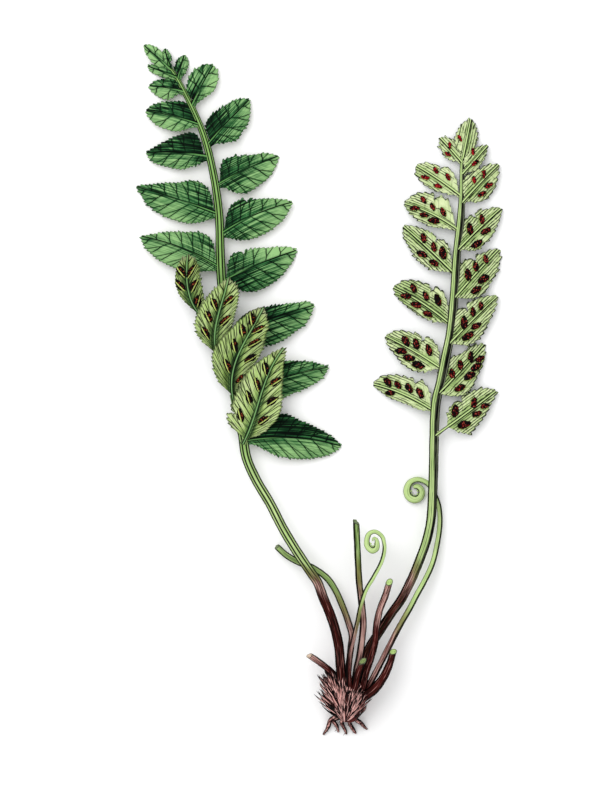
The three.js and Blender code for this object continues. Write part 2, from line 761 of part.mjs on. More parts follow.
// Narrow pointed scales that stand out all round the rootstock and bend towards the crown
function scaleSolids() {
  const random = randomFrom(SCALES.seed);
  const scales = [];
  for (let row = 0; row < SCALES.rows; row++)
    for (let i = 0; i < SCALES.around; i++) {
      const t = THREE.MathUtils.lerp(SCALES.from, SCALES.to, (row + 0.6 * random()) / SCALES.rows);
      const angle = ((i + 0.5 * (row % 2) + 0.5 * random()) * 2 * Math.PI) / SCALES.around;
      const onFloor = Math.sin(angle) < -0.55;
      if (onFloor && Math.abs(Math.cos(angle)) < 0.6) continue;
      const skin = bodyAt(t, angle);
      const out = new THREE.Vector3(Math.cos(angle), 0, Math.sin(angle) * 0.75);
      const skewed = SCALES.length * (1 - SCALES.skew * Math.cos(angle));
      const length = skewed * (0.7 + 0.4 * random());
      const lift = length * (0.3 + 0.4 * t + 0.15 * random());
      const reach = length * (0.75 - 0.3 * t);
      const centres = [
        skin.clone().addScaledVector(out, -SCALES.root),
        skin.clone().addScaledVector(out, reach * 0.6).add(new THREE.Vector3(0, lift * 0.3, 0)),
        skin.clone().addScaledVector(out, reach).add(new THREE.Vector3(0, lift, 0)),
      ];
      for (const centre of centres) centre.z = Math.max(centre.z, SCALES.width * 0.7);
      const size = (s) => {
        const half = SCALES.width * (1 - 0.93 * s ** 1.4);
        return [half, half];
      };
      scales.push(sweep(centres, size, roundSection(SCALE_SIDES)));
    }
  return scales;
}

function rootSolids() {
  const size = taper(ROOT_RADIUS.from, ROOT_RADIUS.to);
  return ROOTS.map((path, i) => {
    const curve = curveThrough(path.map(([x, y], k) => [x, y, ROOT_HEIGHTS[k] + 0.2 * (i % 3)]));
    return sweep(stretch(curve, 0, curve.getLength(), 1.2), size, roundSection(ROOT_SIDES));
  });
}

function rootstockSolid(sockets) {
  const centres = BODY.map(({ y, z }) => new THREE.Vector3(BODY_X, y, z));
  const size = (t) => {
    const { wide, tall } = BODY[Math.round(t * (BODY.length - 1))];
    return [wide, tall];
  };
  const body = straightBody(centres, size);
  return fuse([union([body, ...scaleSolids(), ...rootSolids()]).subtract(union(sockets))]);
}

// The body's rings stand square to Y, so that its underside is flat where it rests
function straightBody(centres, size) {
  const section = roundSection(BODY_SIDES);
  const count = BODY_SIDES;
  const last = centres.length - 1;
  const points = [];
  centres.forEach((centre, k) => {
    const [wide, tall] = size(k / last);
    for (const [x, z] of section)
      points.push(new THREE.Vector3(centre.x + x * wide, centre.y, Math.max(0, centre.z + z * tall)));
  });
  const triangles = [];
  for (let k = 0; k < last; k++)
    for (let j = 0; j < count; j++) {
      const [a, b] = [k * count + j, k * count + ((j + 1) % count)];
      triangles.push([a, a + count, b], [b, a + count, b + count]);
    }
  for (let j = 1; j < count - 1; j++) {
    triangles.push([0, j, j + 1]);
    triangles.push([last * count, last * count + j + 1, last * count + j]);
  }
  return solidOf(points, triangles);
}

function stalkSolid(path, radius, slant) {
  const curve = curveThrough(path);
  const end = slant ? curve.getLength() : curve.getLength() - JOINT_GAP / 2;
  return sweep(stretch(curve, 0, end), taper(...radius), roundSection(STALK_SIDES), slant);
}

const largeCoil = coiledFrond(LARGE_COIL);
const smallCoil = coiledFrond(SMALL_COIL);
const middleStalk = cutStalk(CUT_STALKS.middle);
const leftCutStalk = cutStalk(CUT_STALKS.left);

const leftFrond = frondSolid({
  axis: LEFT_AXIS,
  radii: LEFT_RADII.slice(1),
  flat: [...LEFT_LEAFLETS, ...LEFT_TIP],
  turned: TURNED_LEAFLETS,
  margins: LEFT_MARGINS,
  lowerUp: false,
});
const rightFrond = frondSolid({
  axis: RIGHT_AXIS,
  radii: RIGHT_RADII.slice(1),
  flat: [...RIGHT_LEAFLETS, ...RIGHT_TIP],
  margins: RIGHT_MARGINS,
  lowerUp: true,
});

const sockets = [
  socket(LEFT_STALK, LEFT_RADII[0]),
  socket(RIGHT_STALK, RIGHT_RADII[0]),
  socket(LARGE_COIL.stalk, LARGE_COIL.radius.foot),
  socket(SMALL_COIL.stalk, SMALL_COIL.radius.foot),
  ...Object.values(CUT_STALKS).map(({ path, radius }) => socket(path, radius[0])),
  ...Object.values(STUBS).map(({ path, radius }) => socket(path, radius[0])),
];

const plant = new THREE.Group();
plant.position.set(CROWN[0], CROWN[1], 0);
plant.add(
  meshOf("left_frond", leftFrond, COLOURS.upperLeaf, 0.5),
  meshOf("left_frond_stalk", stalkSolid(LEFT_STALK, LEFT_RADII), COLOURS.brownStalk, 0.4),
  meshOf("right_frond", rightFrond, COLOURS.underLeaf, 0.55),
  meshOf("right_frond_stalk", stalkSolid(RIGHT_STALK, RIGHT_RADII), COLOURS.brownStalk, 0.4),
  meshOf("large_coiled_frond", largeCoil.green, COLOURS.greenStalk, 0.5),
  meshOf("large_coiled_frond_foot", largeCoil.brown, COLOURS.mauveStalk, 0.45),
  meshOf("small_coiled_frond", smallCoil.green, COLOURS.greenStalk, 0.5),
  meshOf("small_coiled_frond_foot", smallCoil.brown, COLOURS.mauveStalk, 0.45),
  meshOf("middle_cut_stalk", middleStalk.green, COLOURS.greenStalk, 0.5),
  meshOf("middle_cut_stalk_foot", middleStalk.brown, COLOURS.mauveStalk, 0.45),
  meshOf("left_cut_stalk", leftCutStalk.green, COLOURS.greenStalk, 0.5),
  meshOf("left_cut_stalk_foot", leftCutStalk.brown, COLOURS.mauveStalk, 0.45),
);
for (const [name, { path, radius }] of Object.entries(STUBS))
  plant.add(meshOf(name, stalkSolid(path, radius, CUT_SLANT), COLOURS.brownStalk, 0.45));
plant.add(meshOf("rootstock", rootstockSolid(sockets), COLOURS.rootstock, 0.75));

const part = new THREE.Group();
part.add(plant);

export default part;
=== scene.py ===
"""Sea spleenwort: a small fern lifted with its roots and laid on a pale surface.

Lengths in the tables are millimetres from the crown, where the stalks leave the rootstock: x to
the right, y from the roots to the frond tips, z up. Shape.mesh turns them into metres in the
part's frame.
"""

import math

import bpy
import numpy as np
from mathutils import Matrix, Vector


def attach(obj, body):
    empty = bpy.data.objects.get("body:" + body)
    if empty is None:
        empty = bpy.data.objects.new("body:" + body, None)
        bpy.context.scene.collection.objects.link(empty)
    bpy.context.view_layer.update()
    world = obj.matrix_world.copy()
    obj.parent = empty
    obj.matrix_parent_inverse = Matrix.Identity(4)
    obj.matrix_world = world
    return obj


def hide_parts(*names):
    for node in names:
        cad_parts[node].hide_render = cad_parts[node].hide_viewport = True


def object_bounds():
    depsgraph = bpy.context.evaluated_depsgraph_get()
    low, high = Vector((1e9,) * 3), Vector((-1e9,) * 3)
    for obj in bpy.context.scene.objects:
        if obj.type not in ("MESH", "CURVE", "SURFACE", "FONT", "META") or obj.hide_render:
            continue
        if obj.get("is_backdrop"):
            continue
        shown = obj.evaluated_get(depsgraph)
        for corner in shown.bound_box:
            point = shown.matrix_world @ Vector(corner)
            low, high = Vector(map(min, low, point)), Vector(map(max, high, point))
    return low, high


bl_info = {
    "name": "Sea spleenwort",
    "version": (1, 0, 0),
    "blender": (4, 5, 0),
    "location": "View3D > Sidebar > Fern",
    "description": "Builds a sea spleenwort with its fronds, sori, coiled young fronds and roots",
    "category": "Add Mesh",
}

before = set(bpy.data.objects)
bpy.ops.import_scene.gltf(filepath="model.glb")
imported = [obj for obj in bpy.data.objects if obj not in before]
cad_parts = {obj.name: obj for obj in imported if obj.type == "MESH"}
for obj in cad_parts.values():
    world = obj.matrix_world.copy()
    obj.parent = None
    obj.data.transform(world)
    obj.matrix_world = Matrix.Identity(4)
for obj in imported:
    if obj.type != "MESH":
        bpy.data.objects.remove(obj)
CAD_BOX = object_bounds()

MM = 1000  # millimetres in a metre
CROWN = np.array([9.45, -86.22, 0.0])  # the crown's place in the part's frame, in mm
UP = np.array([0.0, 0.0, 1.0])
LOWEST = 0.02  # least height over the floor
ROUND = 28  # sides of a round stalk and of its cut face
BURIED = 3.0  # how far a stalk's foot runs on inside the rootstock
STALK_START = -3.3  # length along a stalk at its buried end, so that 0 is at the crown
CUT_REACH = 4.5  # how far back from a slanted cut the end of a stalk is drawn with it
CHART = 24.0  # longest stretch of a stem's skin that is laid flat in one piece
HEAP = 0.34  # height of a sorus in its middle
BARE = 1.9  # usual length of a leaflet's bare foot

LEFT_AXIS = [
    (-11.2, 31.2, 8.9), (-12.9, 33.6, 8.5), (-16.5, 39.0, 7.7), (-20.1, 45.0, 6.8),
    (-24.0, 52.5, 5.8), (-28.1, 59.4, 4.9), (-31.0, 66.0, 4.2), (-32.1, 72.6, 3.8),
    (-34.1, 87.0, 3.5), (-36.5, 103.0, 3.4), (-38.4, 117.3, 3.4), (-38.9, 127.0, 3.4),
    (-39.3, 139.2, 3.4), (-40.5, 148.5, 3.3), (-42.6, 158.4, 3.1), (-44.7, 165.0, 2.8),
    (-48.9, 174.3, 2.3), (-53.2, 181.9, 1.8), (-56.0, 185.0, 1.5),
]
LEFT_STALK = [
    (-2.4, -2.6, 9.3), (-2.7, 0.9, 9.6), (-3.0, 5.1, 10.0), (-3.4, 9.9, 10.2),
    (-4.5, 15.0, 10.2), (-6.1, 19.8, 9.9), (-8.0, 24.3, 9.6), (-9.8, 29.1, 9.1),
    (-11.2, 31.2, 8.9),
]
RIGHT_AXIS = [
    (18.7, 30.3, 5.6), (21.0, 36.0, 5.4), (23.0, 41.7, 5.2), (24.2, 47.5, 4.9),
    (24.7, 54.9, 4.7), (25.0, 62.4, 4.4), (25.2, 71.7, 4.0), (25.4, 77.7, 3.7),
    (25.9, 83.4, 3.5), (27.3, 89.1, 3.4), (28.8, 96.6, 3.3), (30.3, 104.4, 3.3),
    (31.4, 117.0, 3.3), (32.1, 127.5, 3.2), (33.2, 137.5, 3.0), (33.7, 146.7, 2.7),
    (33.8, 155.0, 2.3), (34.9, 162.0, 1.9),
]
RIGHT_STALK = [
    (3.0, -1.2, 5.6), (3.9, 2.7, 5.6), (5.3, 8.4, 5.7), (9.0, 14.4, 5.8), (12.3, 19.5, 5.8),
    (15.3, 23.7, 5.7), (18.7, 30.3, 5.6),
]
# Shares of a leaflet's midrib at which its half widths above and below the midrib are given. In the
# rows, foot and tip are the midrib's ends and bow its bend. dark is how much painted shade lies on
# the halves above and below it, and what comes on top towards the tip. hook bends the midrib the
# other way near its tip, behind is how far it runs on under the axis as a share of its length,
# notch is where the margin is cut in, bare is the length of a foot that is longer than usual,
# ragged makes the teeth higher, and sori are the middles of the sori.
STATIONS = (0.12, 0.25, 0.4, 0.55, 0.7, 0.84, 0.94)
LEFT_LEAFLETS = [
    dict(foot=(-49.8, 175.8), tip=(-60.3, 177.9), bow=0.2, dark=(0.7, 0.35, 0.1),
         above=(1.4, 2.7, 2.9, 2.6, 2.2, 1.7, 0.8), below=(0.8, 1.9, 3, 3.2, 2.8, 1.9, 1.1)),
    dict(foot=(-46.2, 165.6), tip=(-61.2, 170.3), bow=0.4, dark=(0.85, 0.4, 0.1),
         above=(2, 4.3, 4.9, 4.4, 3.6, 2.6, 1.6), below=(1.6, 2.9, 4.1, 4.1, 3.8, 2.8, 1.5)),
    dict(foot=(-43.2, 156.3), tip=(-61.2, 157.8), bow=0.5, dark=(0.95, 0.55, 0.2),
         above=(3, 6.1, 5.8, 4.8, 3.3, 1.8, 0.7), below=(2.1, 3.4, 4.6, 4.6, 4, 3.2, 1.7)),
    dict(foot=(-40.8, 138.9), tip=(-64.2, 147.6), bow=0.3, dark=(0.45, 0.45, 0.45),
         above=(2.8, 6.4, 6.7, 4.7, 3.3, 1.8, 0.8), below=(3.2, 5.2, 6, 6.1, 5.3, 3.7, 1.4)),
    dict(foot=(-39.9, 123), tip=(-62.7, 132.6), bow=1.2, dark=(0.35, 0.4, 0.2),
         above=(2.6, 6.2, 6.2, 4.6, 3.4, 1.8, 0.6), below=(2.6, 4.6, 5.8, 6.1, 5.6, 4, 2.2)),
    dict(foot=(-51.4, 180), tip=(-49.8, 187.2), bow=0, dark=(0.8, 0.5, 0),
         above=(0.8, 1.4, 1.8, 1.7, 1.8, 1.2, 0.5), below=(1.1, 1.5, 1.8, 1.9, 1.9, 1.4, 0.7)),
    dict(foot=(-46.8, 172.2), tip=(-41.1, 183.9), bow=0.2, dark=(0.65, 0.35, 0),
         above=(1.6, 3.2, 4, 4.5, 4.1, 3.2, 2.2), below=(1.2, 2, 3.1, 3.9, 3.6, 2.9, 1.7)),
    dict(foot=(-41.4, 160.2), tip=(-30.3, 173.7), bow=0.2, dark=(0.9, 0.75, -0.3),
         above=(2.6, 4.4, 4.9, 4.3, 3.7, 2.8, 1.5), below=(1.8, 3.9, 5.6, 5.1, 4.6, 3, 1.4)),
    dict(foot=(-39.3, 147.9), tip=(-21.6, 156.8), bow=0.5, dark=(0.65, 0.6, -0.2),
         notch=(-32.9, 156.2),
         above=(3.2, 5.1, 5.1, 3.9, 2.9, 2.1, 0.8), below=(2.1, 5.2, 6.4, 5.9, 5.3, 3.6, 1.7)),
    dict(foot=(-37.9, 132.9), tip=(-17.4, 142.8), bow=1.1, dark=(0.65, 0.65, -0.3),
         notch=(-30.9, 143.0),
         above=(2.4, 5.1, 5.8, 4.4, 3.3, 2.1, 1), below=(3, 5.2, 6.2, 6.2, 5.4, 3.7, 1.6)),
    dict(foot=(-37.2, 119.1), tip=(-16.2, 128.4), bow=0.5, dark=(0.4, 0.95, -0.4),
         notch=(-31.8, 127.3),
         above=(3.2, 5.7, 5, 4.6, 3.3, 2.4, 1.4), below=(3.4, 6.2, 7.2, 6.9, 5.8, 3.8, 1.9)),
    dict(foot=(-35.9, 102.9), tip=(-10.8, 111.9), bow=0.4, dark=(1, 1, -0.5),
         above=(2.2, 3.8, 4.1, 3.4, 2.7, 2, 1.5), below=(2.5, 5.3, 7.3, 7.2, 5.9, 4.6, 2)),
    dict(foot=(-33.9, 84.9), tip=(-6.6, 93.3), bow=0.8, dark=(1, 0.85, -0.3),
         above=(2.6, 5.2, 5.6, 4.8, 3.7, 2.5, 1), below=(2.1, 4.3, 5.7, 5.3, 4.8, 3.7, 2.1)),
    dict(foot=(-31.3, 71), tip=(-2.7, 69.6), bow=1.7, dark=(1, 0.5, 0),
         above=(4.4, 6.5, 7, 5.4, 4, 2.7, 1.3), below=(1.6, 3.8, 5.6, 6.1, 5.5, 4, 2)),
]
TURNED_LEAFLETS = [
    dict(foot=(-45.4, 109.4), tip=(-48.6, 126.5), bow=1.7, dark=(1.4, 1.3, 0.3), hook=0.6,
         behind=0.45,
         above=(0.9, 1.7, 2.7, 3.3, 3.3, 2.8, 1.8), below=(2.4, 3.8, 4.1, 3.9, 3.6, 3, 1.9),
         sori=[(-50.5, 121.7), (-50.8, 117.6), (-46.7, 117.6), (-47.5, 121.8), (-45.6, 113.1)]),
    dict(foot=(-40, 97), tip=(-36.5, 119.5), bow=1.3, dark=(0.75, 0.6, 0.3), hook=1.2, behind=0.3,
         above=(2.7, 5.1, 6.2, 5.7, 4.9, 3.1, 1.5), below=(1.8, 3.4, 4.4, 4.5, 4.4, 3.8, 2.2),
         sori=[(-36.1, 113.1), (-40.6, 112), (-42.4, 108.3), (-37.4, 107.1), (-43.3, 103.5)]),
    dict(foot=(-35.2, 84.4), tip=(-26, 110.9), bow=2.3, dark=(1, 0.7, 0.5), hook=1.6, behind=0.1,
         above=(4.2, 6.2, 7.2, 6.4, 5.2, 3.8, 2.2), below=(2, 3.6, 5.2, 5.8, 4.7, 3.4, 1.6),
         sori=[(-29.4, 107.5), (-32.2, 104.2), (-34.6, 99.7), (-36.8, 93.7), (-27.4, 104.4),
               (-28.6, 100.4), (-29.8, 95.8), (-32.7, 89.6)]),
    dict(foot=(-31.6, 71.2), tip=(-19.8, 98.9), bow=0.9, dark=(0.5, 0.6, 0.6), hook=-1.4,
         behind=0.04, notch=(-36.1, 80.4),
         above=(6.9, 7.2, 6.9, 6.6, 5.2, 3, 1.3), below=(3.2, 5.5, 7, 5.9, 4.5, 2.8, 1.5),
         sori=[(-25.3, 92.8), (-27.8, 88.1), (-30.3, 84.2), (-32.8, 78.8), (-22.3, 88.8),
               (-23.2, 83.1), (-26, 77.3)]),
]
RIGHT_LEAFLETS = [
    dict(foot=(32.9, 144.3), tip=(20.1, 153.9), bow=0.3, dark=(0.42, 0.62, 0.3),
         notch=(27.6, 153.6),
         above=(1, 2.6, 4.2, 4.2, 3.2, 2.4, 1.3), below=(1, 1.8, 2.8, 3.5, 3.4, 2.8, 1.8),
         sori=[(25.8, 152.4), (29.4, 150.4), (22.6, 150.3), (26.4, 147.6)]),
    dict(foot=(32.2, 134.2), tip=(16.5, 142.5), bow=0.8, dark=(0.42, 0.62, 0.3),
         notch=(25.2, 143.5),
         above=(1.4, 3.2, 5.6, 5.6, 5.2, 4.5, 3), below=(1.2, 1.8, 3.2, 3.5, 3.3, 2.3, 1.2),
         sori=[(22.1, 143.5), (24.8, 141.4), (27.9, 139.8), (19.5, 141.0), (22.2, 138.9),
               (25.2, 137.2)]),
    dict(foot=(31.2, 120.9), tip=(16.2, 135.6), bow=0.2, dark=(0.5, 0.75, 0.35),
         notch=(25.5, 130.9),
         above=(1.8, 3, 4.8, 4, 3.7, 2.5, 1.4), below=(1.2, 3.2, 4.5, 4.6, 3.6, 2.9, 1.5),
         sori=[(22.1, 132.0), (25.2, 129.3), (27.9, 127.5), (21.6, 127.2), (25.2, 124.5)]),
    dict(foot=(29.8, 105.7), tip=(13.2, 117.3), bow=0.7, dark=(0.75, 1.0, 0.5), notch=(24.8, 117.3),
         above=(2, 4.6, 6.2, 5.6, 5.1, 4.3, 2.6), below=(1, 2.3, 3.3, 3.5, 3.1, 2.3, 1.1),
         sori=[(19.2, 117.0), (22.8, 114.6), (26.4, 113.4), (16.8, 114.6), (19.9, 111.9),
               (23.4, 109.2)]),
    dict(foot=(27.6, 92.6), tip=(10.8, 102.6), bow=0.4, dark=(0.55, 0.6, 0.3), notch=(22.2, 102.3),
         above=(1.6, 4.5, 5.6, 4.8, 4.3, 3.5, 1.9), below=(1.2, 3.6, 5.1, 4.9, 4, 2.7, 1.3),
         sori=[(16.8, 101.1), (19.9, 100.2), (23.7, 98.4), (15.3, 98.1), (17.7, 96.0),
               (20.4, 93.9)]),
    dict(foot=(25, 79.8), tip=(7.2, 88.2), bow=0.9, dark=(0.5, 0.7, 0.3), notch=(19.9, 89.1),
         above=(1.4, 5, 5.7, 5, 4.6, 3.9, 2.8), below=(1, 2, 2.2, 2.4, 2.4, 1.6, 1),
         sori=[(11.4, 88.8), (14.4, 87.9), (17.7, 87.0), (21.0, 85.5), (12.0, 85.5)]),
    dict(foot=(33.9, 142.5), tip=(44.7, 154.2), bow=0.2, dark=(0.8, 0.8, 0.1),
         above=(0.9, 3.6, 4.2, 3.8, 2.8, 2.2, 0.9), below=(1.4, 3.7, 4.6, 4.5, 3.5, 1.9, 0.8),
         sori=[(40.2, 151.2), (37.2, 149.4), (41.7, 147.8), (39.6, 145.2)]),
    dict(foot=(33, 128.2), tip=(45.3, 141), bow=0.2, dark=(0.8, 0.8, 0.1), notch=(37.5, 138.9),
         above=(1.6, 4.2, 4.8, 4.2, 3.7, 2.3, 1.4), below=(2, 4.2, 4.3, 4.4, 3.4, 2.4, 1.3),
         sori=[(39.6, 137.7), (36.0, 134.7), (40.8, 134.1), (38.1, 130.2)]),
    dict(foot=(32, 114), tip=(44.7, 128.7), bow=0.2, dark=(0.8, 0.8, 0.1), notch=(37.2, 126.0),
         above=(2, 4.6, 5.2, 4.6, 3.4, 2.1, 1.1), below=(2.6, 4.9, 5.7, 5, 4.4, 3.1, 1.6),
         sori=[(40.8, 125.7), (37.8, 123.4), (35.4, 120.9), (40.2, 119.7), (37.9, 116.4)]),
    dict(foot=(30.6, 99.9), tip=(44.2, 114.6), bow=0.2, dark=(0.8, 0.8, 0.1), notch=(34.5, 111.3),
         above=(1.9, 4.3, 5, 4.4, 3.8, 2.6, 1.3), below=(2.6, 4.7, 5.2, 4.6, 3.4, 2.2, 1),
         sori=[(39.3, 111.6), (36.9, 109.8), (34.2, 106.6), (37.9, 105.6), (35.4, 102.5)]),
    dict(foot=(28, 84.5), tip=(40.2, 100.2), bow=-0.2, dark=(0.8, 0.8, 0.1),
         above=(2, 4.3, 5.7, 4.3, 3, 2.3, 1), below=(3.2, 5.5, 6, 5.1, 4.2, 2.8, 1.3),
         sori=[(36.3, 96.3), (33.1, 93.9), (30.6, 91.3), (39.0, 95.7), (37.9, 93.3), (35.9, 90.6),
               (33.0, 87.0)]),
    dict(foot=(25.4, 72.6), tip=(43.8, 86.1), bow=-0.1, dark=(0.8, 0.8, 0.1), bare=5,
         notch=(33.0, 83.4),
         above=(0.4, 1.4, 4.2, 4.4, 4.2, 3.3, 1.9), below=(0.8, 2.3, 5.4, 4.8, 3.8, 2.2, 1.1),
         sori=[(31.5, 80.1), (37.2, 82.5), (40.5, 81.6), (38.1, 79.2), (34.2, 76.0)]),
]
LEFT_TIP = [
    dict(foot=(-54, 182.6), tip=(-61.9, 190), bow=0, dark=(0.3, 0.3, 0.1),
         above=(1.3, 1.9, 2.2, 2.1, 2, 1.5, 0.8), below=(1.2, 1.8, 2, 2, 1.7, 1.3, 0.6)),
    dict(foot=(-52.2, 180.3), tip=(-60.8, 183.9), bow=0, dark=(0.5, 0.4, 0.1),
         above=(1, 1.7, 1.8, 1.6, 1.3, 0.9, 0.4), below=(0.8, 1.2, 1.4, 1.4, 1.4, 1.2, 0.6)),
    dict(foot=(-54.2, 183), tip=(-55.6, 189), bow=0, dark=(0.7, 0.5, 0),
         above=(0.7, 1, 1.2, 1.3, 1.1, 0.8, 0.4), below=(0.6, 1, 1.4, 1.5, 1.3, 0.9, 0.5)),
]
RIGHT_TIP = [
    dict(ragged=1.5, foot=(33.8, 156), tip=(36.3, 167.8), bow=0, dark=(0.5, 0.9, 0.3),
         above=(1, 2.4, 3.2, 3.3, 2.8, 2.2, 1), below=(1, 2.3, 2.9, 3, 2.4, 1.8, 1),
         sori=[(33.0, 162.0)]),
    dict(ragged=1.5, foot=(33.7, 154.6), tip=(27.3, 162.3), bow=0, dark=(0.45, 0.7, 0.2),
         above=(0.8, 1.8, 2.6, 2.8, 2.5, 1.5, 0.7), below=(0.8, 1.8, 2.4, 2.6, 2.1, 1.6, 0.7),
         sori=[(30.0, 159.9), (29.4, 157.2)]),
    dict(ragged=1.5, foot=(33.8, 151.2), tip=(41.4, 159.9), bow=0, dark=(0.9, 0.9, 0.2),
         above=(0.8, 2, 2.6, 2.7, 2.2, 1.5, 0.6), below=(0.8, 1.9, 2.3, 2.1, 1.6, 1.1, 0.4),
         sori=[(36.9, 158.1), (37.5, 154.5)]),
]

# The curled part is given as its middle line from above with the half width at each point, and the
# knobs as their middles and radii. skin is how far along the brown ends and the green begins, and
# edges how far out from the middle the painted shade on its left and right sides begins.
LARGE_COIL = dict(
    stalk=[
        (4.4, -3.8, 7.6), (6.1, -0.9, 7.6), (9.0, 4.5, 7.3), (11.9, 10.2, 6.8), (14.9, 15.9, 6.2),
        (18.2, 21.6, 5.5),
        (20.1, 25.2, 5.0), (22.2, 28.9, 4.4), (24.7, 34.2, 3.6), (26.1, 39.6, 2.8),
        (27.0, 45.4, 2.0), (27.0, 49.7, 1.6), (26.5, 52.4, 1.4), (25.2, 55.6, 1.2),
    ],
    curl=[
        (23.6, 58.1, 0.74), (21.8, 59.2, 0.76), (20.1, 59.5, 0.8), (18.1, 58.6, 0.9),
        (17.2, 56.6, 1.05), (17.6, 54.5, 1.12), (19.3, 53.5, 1.2), (20.8, 53.9, 1.1),
        (21.6, 55.4, 1.0), (21.3, 56.7, 0.92), (20.3, 57.4, 0.8), (19.5, 57.3, 0.62),
        (19.1, 57.1, 0.3),
    ],
    knobs=[(18.3, 56.0, 0.45), (18.5, 54.95, 0.42), (19.4, 54.55, 0.42), (20.45, 55.0, 0.45),
           (20.4, 56.1, 0.36), (18.6, 57.9, 0.3)],
    height=0.95, foot=1.0, stalk_half=0.86, skin=(4.0, 24.0), edges=(0.8, 0.22),
)
SMALL_COIL = dict(
    stalk=[
        (-0.3, -2.6, 10.8), (-0.5, 2.7, 10.9), (-0.2, 7.8, 10.9), (0.9, 12.4, 10.9),
        (2.1, 17.4, 10.8), (3.0, 21.9, 10.7), (4.6, 26.7, 10.4), (6.9, 30.6, 9.8),
        (9.4, 35.4, 9.0), (10.2, 38.9, 8.8),
    ],
    curl=[
        (10.05, 40.9, 0.6), (9.6, 42.5, 0.6), (8.2, 43.8, 0.62), (7.0, 44.1, 0.64),
        (5.6, 43.4, 0.74), (4.95, 41.4, 0.82), (5.2, 39.6, 0.84), (6.6, 38.5, 0.98),
        (7.8, 39.1, 0.88), (8.0, 40.7, 0.72), (7.7, 41.8, 0.52), (7.1, 42.2, 0.36),
        (6.65, 41.8, 0.25), (6.9, 41.3, 0.17),
    ],
    knobs=[(6.0, 40.5, 0.4), (6.3, 39.8, 0.36), (6.95, 39.75, 0.36), (6.0, 42.6, 0.2),
           (7.3, 40.4, 0.3)],
    height=8.7, foot=0.9, stalk_half=0.66, skin=(10.0, 22.5), edges=(0.25, 0.85),
)
# stops are half widths at shares of the length. A cut's slant leans it back to one side and above.
CUT_STALKS = {
    "middle": dict(
        path=[(1.3, -2.0, 7.6), (1.9, 2.7, 7.6), (2.8, 7.0, 7.6), (3.5, 11.7, 7.5),
              (3.9, 17.1, 7.4), (3.4, 22.8, 7.3), (2.7, 28.8, 7.1), (2.4, 33.9, 6.9),
              (2.1, 40.2, 6.6), (1.8, 46.8, 6.3)],
        stops=[(0, 1.1), (1, 0.98)], slant=(0.7, 0.6), rough=0.5, skin=(3.0, 33.0), olive=0.9,
        edges=(0.38, 0.58)),
    "left": dict(
        path=[(-0.9, -1.6, 5.2), (-0.4, 4.0, 5.2), (0.3, 9.9, 5.2), (0.5, 12.9, 5.2),
              (-0.8, 17.7, 5.1), (-2.5, 22.2, 4.9), (-4.4, 26.4, 4.7), (-6.9, 30.0, 4.4),
              (-11.1, 33.0, 3.8), (-15.6, 34.8, 3.1), (-19.2, 36.9, 2.5), (-21.9, 39.3, 2.0)],
        stops=[(0, 1.0), (0.7, 1.0), (1, 0.95)], slant=(0.0, 0.5), rough=0.25, skin=(2.0, 24.0),
        olive=0.65, edges=(0.52, 0.58)),
}
STUBS = {
    "tall_stub": dict(
        path=[(3.8, -1.4, 9.1), (4.8, 2.7, 9.2), (6.3, 7.0, 9.4), (7.4, 11.7, 9.6),
              (7.8, 15.9, 9.7), (8.8, 20.8, 9.6), (10.5, 25.2, 9.4), (11.65, 29.05, 9.1)],
        radius=(1.15, 1.02), slant=(-0.3, 1.15), brown_to=20.0),
    "short_stub": dict(
        path=[(1.4, -1.9, 10.7), (2.2, 1.6, 11.0), (3.7, 5.7, 11.4)],
        radius=(1.2, 0.98), slant=(-0.6, 0.9), end="dull"),
    "right_stub": dict(
        path=[(3.8, -5.3, 8.3), (6.9, -3.1, 8.8), (9.7, 0.4, 9.3), (11.6, 4.4, 9.3),
              (12.8, 8.3, 9.1)],
        radius=(1.75, 1.05), slant=(-0.3, 0.85)),
    "broken_stub": dict(
        path=[(-3.0, -1.6, 6.4), (-4.3, 0.4, 6.6), (-6.1, 2.5, 6.8), (-8.1, 4.2, 7.1),
              (-10.2, 5.75, 7.2), (-12.1, 7.0, 7.2)],
        radius=(1.15, 0.92), slant=(0.35, 0.6), brown_to=9.5, end="pink", rough=0.3),
}

# Rootstock: a place along it, and its half width, half height and middle height there
BODY = [
    (-13.0, 1.8, 2.6, 4.2), (-11.2, 3.2, 4.4, 5.2), (-8.6, 4.3, 6.3, 6.1), (-5.8, 4.9, 6.6, 6.2),
    (-3.2, 4.9, 5.6, 6.1), (-1.4, 4.4, 4.0, 6.0), (-0.2, 3.4, 2.2, 6.0),
]
BODY_X = -0.6
# Roots as seen from above, and the heights of their four points
ROOTS = [
    [(-2.6, -10.6), (-5.6, -12.4), (-6.3, -14.3), (-7.9, -17.3)],
    [(-1.9, -11.0), (-4.7, -12.6), (-4.1, -14.4), (-3.4, -16.5)],
    [(-1.0, -11.4), (-2.4, -12.9), (-1.9, -14.9), (-1.0, -17.1)],
    [(0.2, -11.2), (-0.1, -12.8), (0.5, -15.0), (1.9, -16.9)],
    [(1.2, -10.6), (1.8, -12.4), (3.4, -13.9), (5.3, -15.7)],
]
ROOT_HEIGHTS = (4.6, 2.6, 1.2, 0.45)


def smooth(low, high, value):
    """0 below low, 1 above high and a smooth rise between."""
    t = np.clip((np.asarray(value, float) - low) / (high - low), 0, 1)
    return t * t * (3 - 2 * t)


def bell(away, width):
    """1 at 0, falling off to each side over a width."""
    return np.exp(-((away / width) ** 2))


def mix(a, b, t):
    return a + (b - a) * t


def unit(v):
    v = np.asarray(v, float)
    return v / np.maximum(np.linalg.norm(v, axis=-1, keepdims=True), 1e-9)


def stacked(*values):
    """Arrays whose shapes go together, as the last axis of one array."""
    return np.stack(np.broadcast_arrays(*values), axis=-1)


def angles(sides, offset=0.0):
    """Evenly spaced angles round a circle."""
    return (np.arange(sides) + offset) * 2 * np.pi / sides


